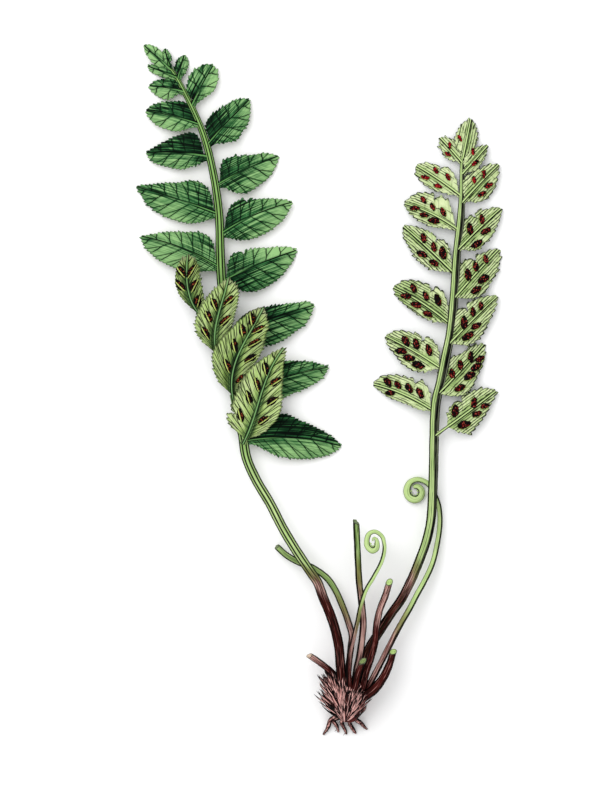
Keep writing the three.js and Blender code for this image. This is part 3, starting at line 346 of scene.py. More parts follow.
def course(path, step=None):
    """Points of a smooth curve through a path's points, evenly spaced where a step is given."""
    path = np.asarray(path, float)
    ends = [2 * path[0] - path[1], *path, 2 * path[-1] - path[-2]]
    between = 24
    t = np.linspace(0, 1, between + 1)[1:, None]
    dense = [path[0]]
    for k in range(len(path) - 1):
        a, b, c, d = ends[k:k + 4]
        before, here, after = (max(np.linalg.norm(q - p), 1e-4) ** 0.5
                               for p, q in ((a, b), (b, c), (c, d)))
        out = ((b - a) / before - (c - a) / (before + here) + (c - b) / here) * here
        into = ((c - b) / here - (d - b) / (here + after) + (d - c) / after) * here
        dense.extend(b + out * t + (3 * (c - b) - 2 * out - into) * t**2
                     + (2 * (b - c) + out + into) * t**3)
    dense = np.array(dense)
    return dense if step is None else spaced(dense, step)


def lengths(points):
    """Length along a line of points at each of them."""
    return np.concatenate([[0], np.cumsum(np.linalg.norm(np.diff(points, axis=0), axis=1))])


def spaced(points, step):
    """The same line with its points about one step apart."""
    along = lengths(points)
    places = np.linspace(0, along[-1], max(2, round(along[-1] / step)) + 1)
    return np.stack([np.interp(places, along, points[:, i]) for i in range(3)], axis=1)


def packed(sizes):
    """Lower left corners of rectangles laid out on shelves, and the side of their square."""
    order = sorted(range(len(sizes)), key=lambda i: -sizes[i][1])
    side = max(max(w for w, h in sizes), math.sqrt(sum(w * h for w, h in sizes)))
    while True:
        corners, x, y, shelf = [None] * len(sizes), 0, 0, 0
        for i in order:
            wide, tall = sizes[i]
            if x + wide > side:
                x, y, shelf = 0, y + shelf, 0
            corners[i] = (x, y)
            x, shelf = x + wide, max(shelf, tall)
        if y + shelf <= side:
            return corners, side
        side *= 1.03


class Shape:
    """Points, faces and the values that the finishes read, gathered for one piece.

    gap is the space in mm between the parts of its skin when they are laid flat.
    """

    def __init__(self, gap=0.5):
        self.places, self.spots, self.tints, self.skins = [], [], [], []
        self.count, self.gap = 0, gap

    def add(self, places, spot, tint):
        """Adds points with two triples of values each, and returns the first one's number."""
        places = np.asarray(places, float).reshape(-1, 3)
        start, self.count = self.count, self.count + len(places)
        self.places.append(places)
        for store, values in ((self.spots, spot), (self.tints, tint)):
            store.append(np.broadcast_to(np.asarray(values, float).reshape(-1, 3), places.shape))
        return start

    def skin(self, faces, layout, material=0, chart=None):
        """Adds faces with where each corner lies when the skin is laid flat, in mm."""
        self.skins.append((np.asarray(faces, int), np.asarray(layout, float), material, chart))

    def grid(self, start, layout, material=0, closed=False, flip=False, rings=None):
        """Faces over the points from start on, a grid stored row by row and laid flat by layout.

        closed joins the last column to the first, where a tube's layout has a column more and a
        disc's hasn't. rings cuts a long skin into charts of so many rows each.
        """
        rows = len(layout)
        number = np.arange(start, self.count).reshape(rows, -1)
        if closed:
            number = np.concatenate([number, number[:, :1]], axis=1)
        if layout.shape[1] < number.shape[1]:
            layout = np.concatenate([layout, layout[:, :1]], axis=1)
        corners = [(0, 0), (0, 1), (1, 1), (1, 0)]
        if flip:
            corners = corners[::-1]
        rings = rings or rows
        for low in range(0, rows - 1, rings):
            high = min(low + rings, rows - 1)
            quads, spots = (
                np.stack([a[low + i:high + i, j:a.shape[1] - 1 + j].reshape(-1, *a.shape[2:])
                          for i, j in corners], axis=1) for a in (number, layout))
            self.skin(quads, spots, material)

    def cap(self, start, ring, spot, tint, flat, foot):
        """Closes a ring of points, numbered from start, with a fan round its middle."""
        tip = self.add(ring.mean(0), spot.mean(0), tint)
        number = start + np.arange(len(ring))
        after, there = np.roll(number, -1), np.roll(flat, -1, axis=0)
        if foot:
            number, after, flat, there = after, number, there, flat
        self.skin(np.stack([np.full(len(ring), tip), number, after], axis=1),
                  np.stack([np.zeros_like(flat), flat, there], axis=1))

    def mesh(self, name):
        """The mesh in metres, with its skin laid flat in one square and its values as marks."""
        boxes = [(f.reshape(-1, 2).min(0), f.reshape(-1, 2).max(0)) for _, f, _, _ in self.skins]
        own = [i for i, skin in enumerate(self.skins) if skin[3] is None]
        corners, side = packed([tuple(boxes[i][1] - boxes[i][0] + self.gap) for i in own])
        shifts = {i: np.array(c) + self.gap / 2 - boxes[i][0] for i, c in zip(own, corners)}
        loops, starts, finishes, flat, total = [], [], [], [], 0
        for i, (faces, layout, material, chart) in enumerate(self.skins):
            loops.append(faces.ravel())
            starts.append(total + faces.shape[1] * np.arange(len(faces)))
            finishes.append(np.full(len(faces), material))
            shift = shifts[i if chart is None else own[chart]]
            flat.append((layout + shift).reshape(-1, 2) / side)
            total += faces.size
        mesh = bpy.data.meshes.new(name)

        def fill(store, field, parts, kind=np.float32):
            store.foreach_set(field, np.concatenate(parts).astype(kind).ravel())

        mesh.vertices.add(self.count)
        mesh.loops.add(total)
        mesh.polygons.add(sum(map(len, starts)))
        fill(mesh.vertices, "co", [(np.concatenate(self.places) + CROWN) / MM])
        fill(mesh.loops, "vertex_index", loops, np.int32)
        fill(mesh.polygons, "loop_start", starts, np.int32)
        fill(mesh.polygons, "material_index", finishes, np.int32)
        fill(mesh.polygons, "use_smooth", [np.ones(len(mesh.polygons))], bool)
        fill(mesh.uv_layers.new(name="OFBake").data, "uv", flat)
        for label, values in (("Spot", self.spots), ("Tint", self.tints)):
            store = mesh.attributes.new(label, "FLOAT_VECTOR", "POINT")
            fill(store.data, "vector", values)
        mesh.update(calc_edges=True)
        mesh.validate()
        return mesh

    def piece(self, name, finishes, slot, *nodes):
        """Makes the object, gives it its finishes and puts it in place of CAD nodes."""
        made = bpy.data.objects.new(name, self.mesh(name))
        bpy.context.scene.collection.objects.link(made)
        for finish in finishes:
            made.data.materials.append(finish)
        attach(made, "root")
        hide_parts(*nodes)


def round_section(sides):
    angle = angles(sides, 0.5)
    return stacked(np.cos(angle), np.sin(angle))


def grooved_section(wide, depth, top):
    """A section over a half round of a depth, with top(x) as its upper line from right to left."""
    x = np.cos(np.linspace(0, np.pi, 23)) * wide
    below = np.cos(np.linspace(np.pi, 2 * np.pi, 15)[1:-1])
    return np.concatenate([stacked(x, top(x)), stacked(below, -depth * np.sqrt(1 - below**2))])


def left_top(x):
    """Upper line of the left frond's axis: a middle ridge between two grooves, and thin wings."""
    arch = 0.72 * np.sqrt(np.maximum(1 - (x / 1.14) ** 2, 0))
    return arch - 0.3 * bell(np.abs(x) - 0.42, 0.13) - 0.12 * smooth(0.62, 1.0, np.abs(x))


def right_top(x):
    """Upper line of the right frond's axis: a broad ridge, a groove to its right and a low wing."""
    arch = 0.86 * np.sqrt(np.maximum(1 - ((x + 0.16) / 1.32) ** 2, 0))
    return (arch - 0.42 * bell(x - 0.4, 0.12) - 0.34 * smooth(0.35, 0.75, x)
            - 0.2 * bell(x + 0.72, 0.1))


def stem(shape, points, stops, section, seed, lumps=(0.0, 0.0), start=0.0, slant=None):
    """A stem through points. stops gives its half width at shares of its length.

    lumps is how strong and which its slow changes of thickness are, and start the length along it
    at its first point. A slant, up and to the right, leaves its end open for a cut face.
    Spot holds the length along, and the place across and up in the section; Tint the share along
    and a seed. Returns the directions along, right and up at its end.
    """
    count, sides = len(points), len(section)
    along = unit(np.gradient(points, axis=0))
    up = unit(UP - along * (along @ UP)[:, None])
    right = np.cross(along, up)
    share = np.linspace(0, 1, count)
    half = np.interp(share, *zip(*stops))[:, None]
    run = lengths(points) + start
    strength, kind = lumps
    far, angle = run[:, None], np.arctan2(section[:, 1], section[:, 0])
    lump = 1 + strength * (np.sin(far * 0.9 + kind) * 0.5
                           + np.sin(far * 2.3 + kind * 3 + 2 * angle) * 0.3
                           + np.sin(far * 5.1 + 3 * angle + kind) * 0.2)
    x, y = (section[:, i] * lump * half for i in (0, 1))
    places = points[:, None] + right[:, None] * x[..., None] + up[:, None] * y[..., None]
    if slant:
        shear = -(x * slant[0] + y * slant[1]) * smooth(run[-1] - CUT_REACH, run[-1], run)[:, None]
        places = places + along[:, None] * shear[..., None]
    places[..., 2] = np.maximum(places[..., 2], LOWEST)
    spot = stacked(far, section[:, 0], section[:, 1])
    tint = stacked(share[:, None], np.zeros(sides), seed)
    first = shape.add(places, spot, tint)
    round_ = lengths(np.vstack([section, section[:1]])) * half.mean()
    step = (run[-1] - run[0]) / (count - 1)
    shape.grid(first, stacked(round_, far), closed=True, flip=True,
               rings=max(2, int(CHART / step)))
    for end in (0,) if slant else (0, count - 1):
        flat = (places[end] - places[end].mean(0)) @ np.stack([right[end], up[end]]).T
        shape.cap(first + end * sides, places[end], spot[end], tint[end, 0], flat, end == 0)
    return along[-1], right[-1], up[-1]


def rooted(path):
    """A path carried on into the rootstock at its foot."""
    path = np.asarray(path, float)
    away = unit(path[0] - path[1]) * BURIED
    away[2] = -0.5 * BURIED
    return np.vstack([path[0] + away, path])


def cut_face(shape, centre, way, radius, slant, seed, rough):
    """The cut end of a stalk: pale tissue in a dark rim, with the cut strands standing in it."""
    along, right, up = way
    ring = angles(ROUND)
    shares = np.array([1.0, 0.97, 0.88, 0.72, 0.5, 0.25, 0.02])[:, None]
    lifts = np.array([-0.25, 0.0, 0.05, 0.0, 0.03, 0.01, 0.0])[:, None]
    x, y = shares * np.cos(ring) * radius, shares * np.sin(ring) * radius
    wobble = rough * np.sin(ring * 5 + seed) * np.sin(ring * 3 + seed * 2) * shares
    out = lifts - slant[0] * x - slant[1] * y + wobble
    places = centre + x[..., None] * right + y[..., None] * up + out[..., None] * along
    first = shape.add(places, stacked(shares, x, y), (radius, 0, seed))
    shape.grid(first, stacked(x, y * math.hypot(1, *slant)), 1, closed=True)


def cut_stalk(path, stops, slant, rough, seed, lumps, face_seed):
    """A round stalk from inside the rootstock to its cut end."""
    shape = Shape()
    points = course(rooted(path), step=0.4)
    way = stem(shape, points, stops, round_section(ROUND), seed, lumps, STALK_START, slant)
    cut_face(shape, points[-1], way, stops[-1][1], slant, face_seed, rough)
    return shape


def blob(shape, centre, radius, run, seed):
    """A small rounded lump."""
    rows, sides = 7, 10
    polar, ring = np.linspace(0.02, np.pi - 0.02, rows)[:, None], angles(sides)
    ball = stacked(np.sin(polar) * np.cos(ring), np.sin(polar) * np.sin(ring), np.cos(polar))
    bumps = 1 + 0.12 * np.sin(ring * 3 + seed) * np.sin(polar * 2 + seed)
    places = centre + ball * radius * bumps[..., None]
    places[..., 2] = np.maximum(places[..., 2], LOWEST)
    first = shape.add(places, stacked(run, ball[..., 0] * 0.3, ball[..., 2]), (0.9, 0.0, seed))
    round_ = np.append(ring, 2 * np.pi) * radius
    shape.grid(first, stacked(round_, polar * radius), closed=True)


# Rings of points from the midrib to the margin, and where the columns of one tooth stand along it
RINGS = np.array([0, 0.04, 0.09, 0.16, 0.26, 0.37, 0.48, 0.6, 0.72, 0.83, 0.93, 1.0])
TOOTH_COLUMNS = np.array([0, 0.24, 0.48, 0.7, 0.86])
TOOTH_HEIGHTS = np.array([0, 0.42, 0.78, 1.0, 0.55])
# Where a side vein begins to fork, over what share of the way out it parts, and how far
FORK_FROM, FORK_OVER, FORK_WIDE = 0.4, 0.55, 0.25


def branches(q, reach):
    """How far a place is from the nearest side vein, as a share of the space of one vein.

    q counts the veins along a side and reach runs from the midrib to the margin. Each vein forks
    once, on its way out.
    """
    across = q - np.floor(q + 0.5)
    fork = FORK_WIDE * np.clip((reach - FORK_FROM) / FORK_OVER, 0, 1)
    return np.abs(np.abs(across) - fork)


class Leaflet:
    """One leaflet's midrib and surface, with the height of its middle layer everywhere.

    row is its row of a table, order its place in that table, axis the line that it is joined to,
    and lower_up says that its lower face is seen from above.
    """

    def __init__(self, row, axis, order, lower_up, turned=False):
        self.row, self.lower_up, self.turned = row, lower_up, turned
        joint = axis[np.argmin(np.linalg.norm(axis[:, :2] - row["foot"], axis=1))]
        self.foot = np.array(row["foot"], float) if turned else joint[:2]
        self.tip = np.array(row["tip"], float)
        self.length = float(np.linalg.norm(self.tip - self.foot))
        self.along = (self.tip - self.foot) / self.length
        self.hand = "left" if row["tip"][0] < row["foot"][0] else "right"
        self.turn = -1 if self.hand == "left" and not turned else 1
        self.across = np.array([-self.along[1], self.along[0]]) * self.turn
        self.peaks = {1: max(row["above"]), -1: max(row["below"])}
        self.bow, self.hook, self.behind = row["bow"], row.get("hook", 0), row.get("behind", 0)
        self.bare = 0.02 if turned else row.get("bare", BARE) / self.length
        self.floor = 0.3 if lower_up else 0.45
        self.seed = order * 1.618 + (7.3 if lower_up else 0) + (3.1 if turned else 0)
        # Heights of the foot and the tip; a turned leaflet lies over the axis and rises from it
        if turned:
            self.low, self.high = joint[2] + 0.7, joint[2] + 5.8
            self.arch, self.droop, self.tilt = 0.5, 0.7, 0
        else:
            self.low, self.high = joint[2], self.floor + (0, 1.0, 0.6, 0, 1.3)[order % 5]
            self.arch, self.droop, self.tilt = 0.9, 0.8, (0.3, -0.25, 0.1)[order % 3]

    def bend(self, u):
        """How far the midrib stands aside of the straight line to its tip."""
        return 4 * u * (1 - u) * (self.bow + self.hook * (1 - 2 * u))

    def at(self, u, v):
        """Points at share u of the midrib and v mm to the side nearer the frond's tip."""
        u, v = np.asarray(u, float), np.asarray(v, float)
        flat = (self.foot + self.along * (u * self.length)[..., None]
                + self.across * (v + self.bend(u))[..., None])
        wide = v / max(self.peaks.values())
        u = np.maximum(u, 0)
        height = (self.low + (self.high - self.low) * u + self.arch * 4 * u * (1 - u)
                  - self.droop * wide**2 + self.tilt * wide * smooth(0, 0.25, u))
        wave = 0.28 * np.abs(wide) ** 2 * np.sin(u * 9 + self.seed * 2.4 + 2.2 * np.sign(v))
        height = height + wave * smooth(0.1, 0.4, u)
        return np.concatenate([flat, np.maximum(height, self.floor)[..., None]], axis=-1)

    def find(self, x, y):
        """Share of the midrib and distance from it of a place seen from above."""
        away = np.array([x, y]) - self.foot
        u = float(away @ self.along) / self.length
        return u, float(away @ self.across) - self.bend(u)

    def margin(self, side, columns):
        """Midrib share, distance and direction of the margin at even lengths along it."""
        reaches = self.row["above" if side > 0 else "below"]
        start = self.bare
        if not self.turned and "bare" not in self.row:
            start = (1.7 if side > 0 else 0.7 if self.lower_up else 0.1) / self.length
        path = [(start * self.length, 0.45 if side > 0 or self.lower_up else 1.15, 0)]
        path += [(u * self.length, reach, 0) for u, reach in zip(STATIONS, reaches)
                 if u > start + 0.05]
        line = course([*path, (self.length, 0.06, 0)])
        far, reach = line[:, 0], line[:, 1]
        if side > 0 and "notch" in self.row:
            place = self.find(*self.row["notch"])[0]
            depth, wide = (0.42, 0.62) if self.lower_up else (0.18, 0.45)
            away = (far - place * self.length) / wide
            reach = reach * (1 - depth * bell(away, 1) + 0.07 * bell(away - 2, 1)
                             + 0.07 * bell(away + 2, 1))
        run = lengths(stacked(far, reach))
        far, reach = (np.interp(columns * run[-1], run, values) for values in (far, reach))
        slope = unit(stacked(np.gradient(far), np.gradient(reach)))
        return far / self.length, np.maximum(reach, 0.05), slope


def tooth_grid(teeth):
    """Columns of points along a margin of so many teeth, and their heights as shares of a tooth."""
    columns = ((np.arange(teeth)[:, None] + TOOTH_COLUMNS) / teeth).ravel()
    return np.append(columns, 1.0), np.append(np.tile(TOOTH_HEIGHTS, teeth), 0.0)


def uneven(count, seed):
    """How much of its full height each tooth of a margin has, for every column."""
    rng = np.random.default_rng(int(1000 * (seed + 9)))
    per = len(TOOTH_COLUMNS)
    size = 0.45 + 0.75 * rng.random(count // per + 1)
    size *= np.where(rng.random(len(size)) < 0.25, 1.5, 1.0)
    return np.repeat(size, per)[:count]


def blade(shape, leaf, height, gap, teeth=3):
    """One leaflet: two sheets joined round their margin, with midrib, side veins and teeth.

    height is a tooth's, gap the space of one side vein, and teeth how many stand on that space.
    """
    length, bare = leaf.length, leaf.bare
    veins = max(3, round(length * (1 - bare) / gap))
    columns, peaks = tooth_grid(veins * teeth)
    stalk = np.linspace(-leaf.behind, bare, max(4, int((bare + leaf.behind) * length / 0.45)),
                        endpoint=False)
    count, rows = len(stalk) + len(columns), len(RINGS)

    def whole(foot, rest):
        """Values along the bare foot and then along the toothed margin."""
        return np.concatenate([np.broadcast_to(foot, len(stalk)), rest])

    flare = 0.42 + 0.5 * np.exp(-np.maximum(stalk * length - 1.0, 0) / 0.9)
    u, v, q, reach = np.zeros((4, 2 * rows - 1, count))
    q[:] = whole(0.0, columns * veins)
    for side in (1, -1):
        starts = bare + (1 - bare) * columns ** (2.5 if leaf.turned else 1.7 if side > 0 else 2.1)
        edge_u, edge_v, slope = leaf.margin(side, columns)
        from_u, edge_u = whole(stalk, starts), whole(stalk, edge_u)
        edge_v = whole(np.maximum(flare, edge_v[0]), edge_v)
        ahead, aside = whole(1.0, slope[:, 0]), whole(0.0, slope[:, 1])
        tooth = height * min(1.0, 0.4 + leaf.peaks[side] / 8) * leaf.row.get("ragged", 1)
        tooth = whole(0.0, tooth * peaks * smooth(0.02, 0.16, columns)
                      * uneven(len(peaks), leaf.seed + side))
        for ring, share in enumerate(RINGS):
            row = rows - 1 + side * ring
            out = share - 0.22 * share * (1 - share)
            push = tooth * smooth(0.74, 1.0, share)
            u[row] = from_u + (edge_u - from_u) * out + push * (0.5 * ahead - aside) / length
            v[row] = side * np.maximum(edge_v * share + push * (ahead + 0.5 * aside), 0)
            reach[row] = side * share
    away = np.abs(reach)
    near = bell(branches(q + 0.5 * (reach < 0), away), 0.055) * whole(0.0, smooth(0, 0.04, columns))
    near = near * smooth(0.06, 0.16, away) * (1 - smooth(0.9, 1.0, away))
    rib = mix(0.14 if leaf.turned else 0.24, 0.05, u) * bell(v, mix(0.18, 0.1, u))
    groove = -0.14 * bell(v, 0.2) + 0.07 * bell(np.abs(v) - 0.42, 0.18)
    thick = (0.19 - 0.09 * smooth(0.9, 1.0, away)
             + 0.3 * (1 - smooth(bare * 0.7, bare * 1.6 + 0.02, u)) * bell(v, 0.6))
    faces = [thick + groove - 0.07 * near, thick + rib + (0.1 if leaf.turned else 0.05) * near]
    if leaf.lower_up:
        faces.reverse()
    middle = leaf.at(u, v)
    ripple = 0.05 * np.sin(u * length * 1.7 + leaf.seed) * np.sin(v * 1.9 + leaf.seed * 2)
    middle[..., 2] += ripple * smooth(0.1, 0.4, away)
    # dark carries each half's painted shade from the table, with what the table adds towards the
    # tip, in the Tint mark.
    above, below, beyond = leaf.row["dark"]
    dark = np.where(reach > 0, above, below) + beyond * smooth(0.45, 0.95, u)
    layout, flip = stacked(u * length, v), leaf.turn < 0
    firsts = []
    for material, way in ((0, 1), (1, -1)):
        places = middle + UP * (way * faces[material])[..., None]
        places[..., 2] = np.maximum(places[..., 2], 0.01)
        firsts.append(shape.add(places, stacked(q, reach, u), stacked(v, dark, leaf.seed)))
        shape.grid(firsts[-1], layout, material, flip=flip == (way > 0))
    number = np.arange((2 * rows - 1) * count).reshape(2 * rows - 1, count)
    loop = np.concatenate([number[0, :-1], number[:-1, -1], number[-1, :0:-1], number[:0:-1, 0]])
    after, flat = np.roll(loop, -1), layout.reshape(-1, 2)
    wall = [loop + firsts[0], loop + firsts[1], after + firsts[1], after + firsts[0]]
    spots = [flat[loop], flat[loop], flat[after], flat[after]]
    if flip:
        wall, spots = wall[::-1], spots[::-1]
    chart = sum(1 for skin in shape.skins if skin[3] is None) - 2
    shape.skin(np.stack(wall, axis=1), np.stack(spots, axis=1), 0, chart=chart)


def ball():
    """A twenty-sided ball."""
    g = (1 + 5**0.5) / 2
    points = [(-1, g, 0), (1, g, 0), (-1, -g, 0), (1, -g, 0), (0, -1, g), (0, 1, g),
              (0, -1, -g), (0, 1, -g), (g, 0, -1), (g, 0, 1), (-g, 0, -1), (-g, 0, 1)]
    faces = [(0, 11, 5), (0, 5, 1), (0, 1, 7), (0, 7, 10), (0, 10, 11), (1, 5, 9), (5, 11, 4),
             (11, 10, 2), (10, 7, 6), (7, 1, 8), (3, 9, 4), (3, 4, 2), (3, 2, 6), (3, 6, 8),
             (3, 8, 9), (4, 9, 5), (2, 4, 11), (6, 2, 10), (8, 6, 7), (9, 8, 1)]
    return unit(points), np.array(faces)


BALL, BALL_FACES = ball()


def heap(shape, leaf, x, y, long, wide, angle, rng, grains, red, half=False):
    """One sorus: a low bed, a heap of spore cases on it and a thin flap.

    The flap lies along the outer side, or along the middle of a half-open sorus, which shows its
    cases on its inner side alone. red runs from -1, brown, to 1, red.
    """
    u, v = leaf.find(x, y)
    side = 1 if v > 0 else -1
    cos, sin = math.cos(angle), math.sin(angle)

    def on_leaf(a, b, high):
        """A point a mm along the sorus and b mm outwards from its middle, at a height."""
        place = leaf.at(u + (a * cos - b * sin) / leaf.length, v + side * (a * sin + b * cos))
        place[..., 2] += 0.2 + high
        return place

    ring = angles(18)
    share = np.linspace(1, 0.0, 5)[:, None]
    ragged = 1 + 0.1 * np.sin(3 * ring + x * 7) + 0.08 * np.sin(5 * ring + y * 5)
    a, b = share * np.cos(ring) * ragged * long / 2, share * np.sin(ring) * ragged * wide / 2
    high = HEAP * np.sqrt(np.maximum(1 - share**2, 0)) + 0 * a - 0.03
    seed = float(rng.random())
    flip = side * leaf.turn < 0
    first = shape.add(on_leaf(a, b, high), stacked(a, b, high), (0, -1, 1))
    shape.grid(first, stacked(a, b), closed=True, flip=not flip)
    for _ in range(grains):
        spread = math.sqrt(rng.random()) * 0.95
        turn = rng.random() * 2 * np.pi
        a, b = spread * math.cos(turn) * long / 2, spread * math.sin(turn) * wide / 2
        if half and b > 0.15:
            continue
        size = 0.17 + 0.06 * rng.random()
        lift = HEAP * math.sqrt(max(0.0, 1 - spread**2)) + 0.04 + 0.1 * rng.random()
        grain = on_leaf(np.array(a), np.array(b), lift) + BALL * size * (0.8 + 0.4 * rng.random(3))
        tone = float(rng.random()) * (0.75 if half and b > -0.2 else 1.0)
        first = shape.add(grain, BALL, (tone, red, spread))
        shape.skin(BALL_FACES + first, BALL[BALL_FACES][..., :2] * size)
    t = np.linspace(-1, 1, 10)[None]
    bend = np.sqrt(np.maximum(1 - (t * 0.97) ** 2, 0.0))
    strips = np.array([0.0, 0.35, 0.7, 1.0])[:, None]
    if half:
        outer, inner, rise = 0.1 + 0.5 * bend, 0.08 + 0 * bend, 0.5 * strips**0.6
    else:
        edge = wide / 2 * bend
        outer, inner, rise = edge - 0.12 + 0.3 * bend**0.7, edge - 0.18, 0.2 * np.sin(strips * 2.6)
    a, b = t * (long / 2 + 0.15) + 0 * strips, outer + (inner - outer) * strips
    high = 0.05 + rise * bend
    for turn_over, sink in ((False, 0.0), (True, 0.05)):
        first = shape.add(on_leaf(a, b, high - sink), stacked(a, strips, high), (seed, 0, 0))
        shape.grid(first, stacked(a, b), 1, flip=flip == turn_over)


def ribbon(shape, path, tops, width, tone, seed):
    """A thin lance-shaped scale along a path, its back turned to the given directions."""
    path, rings = np.array(path), len(path)
    t = np.linspace(0, 1, rings)
    along = unit(np.gradient(path, axis=0))
    side = unit(np.cross(along, np.array(tops)))
    half = width * np.minimum(1, 0.6 + 2.0 * t) * (1 - t**2.2) ** 0.8 + 0.012
    across, above = np.array([(1, 0.0), (0, 0.75), (-1, 0.0), (0, -0.3)]).T
    places = (path[:, None] + side[:, None] * (across * half[:, None])[..., None]
              + np.cross(side, along)[:, None] * (above * half[:, None])[..., None])
    places[..., 2] = np.maximum(places[..., 2], LOWEST)
    run = lengths(path)
    first = shape.add(places, stacked(t[:, None], across, above), (tone, run[-1], seed))
    shape.grid(first, stacked(np.arange(5) * width, run[:, None]), closed=True, flip=True)
    for start, order in ((first, (0, 1, 2, 3)), (first + rings * 4 - 4, (3, 2, 1, 0))):
        shape.skin([[start + k for k in order]],
                   [[(0.0, 0.0), (width, 0.0), (width, 0.1), (0.0, 0.1)]])


def body_size(y):
    """Half width, half height and middle height of the rootstock at a place along it."""
    rows = np.array(BODY)
    return (np.interp(y, rows[:, 0], rows[:, i]) for i in (1, 2, 3))


def body_at(t, angle):
    """A place on the rootstock's surface at share t of its length, and the way out of it."""
    y = mix(BODY[0][0], BODY[-1][0], t)
    wide, tall, z = body_size(y)
    lump = 1 + 0.09 * math.sin(angle * 3 + t * 9) + 0.05 * math.sin(angle * 7 - t * 17)
    x = BODY_X + math.cos(angle) * wide * lump
    high = z + math.sin(angle) * tall * lump
    out = unit([math.cos(angle) / wide, 0.0, math.sin(angle) / tall])
    return np.array([x, y, max(high, 0.25)]), out


def crown_top(x, y):
    """Height of the rootstock's upper side over a place; its middle height beyond the edge."""
    wide, tall, z = body_size(y)
    return float(z + tall * math.sqrt(max(0.0, 1 - ((x - BODY_X) / wide) ** 2)))


STUDIO = 0.82  # what a colour is dimmed by, because the studio light brightens it


def colour(red, green, blue):
    """A colour as it looks in the studio light, turned into the linear one materials take."""
    return tuple(STUDIO * (c / 12.92 if c <= 0.04045 else ((c + 0.055) / 1.055) ** 2.4)
                 for c in (red, green, blue))


class Value:
    """A socket in a finish, so that sums on it read as sums."""

    def __init__(self, finish, socket):
        self.finish, self.socket = finish, socket

    def sum(self, operation, *others, clamp=False):
        return self.finish.sum(operation, self, *others, clamp=clamp)

    def __add__(self, other):
        return self.sum("ADD", other)

    def __sub__(self, other):
        return self.sum("SUBTRACT", other)

    def __rsub__(self, other):
        return self.finish.sum("SUBTRACT", other, self)

    def __mul__(self, other):
        return self.sum("MULTIPLY", other)

    def __truediv__(self, other):
        return self.sum("DIVIDE", other)

    def __rtruediv__(self, other):
        return self.finish.sum("DIVIDE", other, self)

    def __abs__(self):
        return self.sum("ABSOLUTE")

    __radd__, __rmul__ = __add__, __mul__

    def most(self, other):
        return self.sum("MAXIMUM", other)

    def under(self, other):
        return self.sum("LESS_THAN", other)

    def part(self):
        """What is left after the whole number below."""
        return self.sum("FRACT")

    def clip(self):
        return self.sum("ADD", 0.0, clamp=True)

    def step(self, low, high):
        """0 below low, 1 above high and a smooth rise between; falls when low is above high."""
        if low > high:
            return 1 - self.step(high, low)
        node = self.finish.node("ShaderNodeMapRange", {"interpolation_type": "SMOOTHSTEP"},
                                {"Value": self, "From Min": low, "From Max": high})
        return self.finish.value(node, "Result")

    def bell(self, middle, width):
        """1 at the middle, falling away to each side over a width."""
        away = (self - middle) / width
        return (away * away * -1).sum("EXPONENT")


class Finish:
    """A procedural material."""

    def __init__(self, name, gloss=0.5, roughness=0.5):
        self.material = bpy.data.materials.new(name)
        self.material.use_nodes = True
        self.tree = self.material.node_tree
        self.tree.nodes.clear()
        self.shader = self.node("ShaderNodeBsdfPrincipled", {},
                                {"Roughness": roughness, "Specular IOR Level": gloss})
        self.node("ShaderNodeOutputMaterial", {}, {"Surface": self.value(self.shader)})

    def node(self, kind, settings, values):
        """Adds a node: its settings first, then the values or links of its sockets."""
        made = self.tree.nodes.new(kind)
        for name, setting in settings.items():
            if name == "stops":
                ramp = made.color_ramp.elements
                while len(ramp) < len(setting):
                    ramp.new(0.5)
                for element, (place, shade) in zip(ramp, setting):
                    element.position, element.color = place, (*shade, 1.0)
            else:
                setattr(made, name, setting)
        for name, value in values.items():
            socket = made.inputs[name]
            if isinstance(value, Value):
                self.tree.links.new(value.socket, socket)
            else:
                socket.default_value = (*value, 1.0) if socket.type == "RGBA" else value
        return made

    def value(self, node, output=0):
        return Value(self, node.outputs[output])

    def sum(self, operation, *values, clamp=False):
        return self.value(self.node("ShaderNodeMath", {"operation": operation, "use_clamp": clamp},
                                    dict(enumerate(values))))

    def marks(self, name):
        """The three values of a mark on the mesh."""
        mark = self.value(self.node("ShaderNodeAttribute", {"attribute_name": name}, {}), "Vector")
        split = self.node("ShaderNodeSeparateXYZ", {}, {0: mark})
        return [self.value(split, i) for i in range(3)]

    def noise(self, place, scale, detail, roughness=0.5):
        """Noise between about 0.25 and 0.75 at a place, or without one over the piece in metres."""
        if place is None:
            place = self.value(self.node("ShaderNodeTexCoord", {}, {}), "Object")
        else:
            place = self.value(self.node("ShaderNodeCombineXYZ", {}, dict(enumerate(place))))
        node = self.node("ShaderNodeTexNoise", {}, {"Vector": place, "Scale": scale,
                                                    "Detail": detail, "Roughness": roughness})
        return self.value(node, "Fac")

    def ramp(self, factor, *stops):
        return self.value(self.node("ShaderNodeValToRGB", {"stops": stops}, {0: factor}))

    def paint(self, base, *coats):
        """A base colour with coats laid over it, each a mask and a colour."""
        for mask, shade in coats:
            base = self.value(self.node("ShaderNodeMix", {"data_type": "RGBA"},
                                        {0: mask, 6: base, 7: shade}), 2)
        return base

    def finish(self, base, roughness=None, height=None, depth=0.0001, strength=0.6):
        """Links the colour, the roughness and a height that raises or lowers the surface."""
        links = {"Base Color": base, "Roughness": roughness}
        if height is not None:
            links["Normal"] = self.value(self.node("ShaderNodeBump", {}, {
                "Height": height, "Distance": depth, "Strength": strength}))
        for name, value in links.items():
            if value is not None:
                self.tree.links.new(value.socket, self.shader.inputs[name])
        return self.material

    def side_veins(self, count, reach, core, edge):
        """1 on a side vein and 0 between, and how far the nearest is in shares of their spacing.

        count and reach come from Spot; the vein fades from core to edge.
        """
        away = abs(reach)
        cell = (count + 0.5 * reach.under(0.0) + 0.5).part() - 0.5
        near = abs(abs(cell) - ((away - FORK_FROM) / FORK_OVER).clip() * FORK_WIDE)
        ends = away.step(0.04, 0.1) * away.step(0.99, 0.88)
        return near.step(edge, core) * ends, near


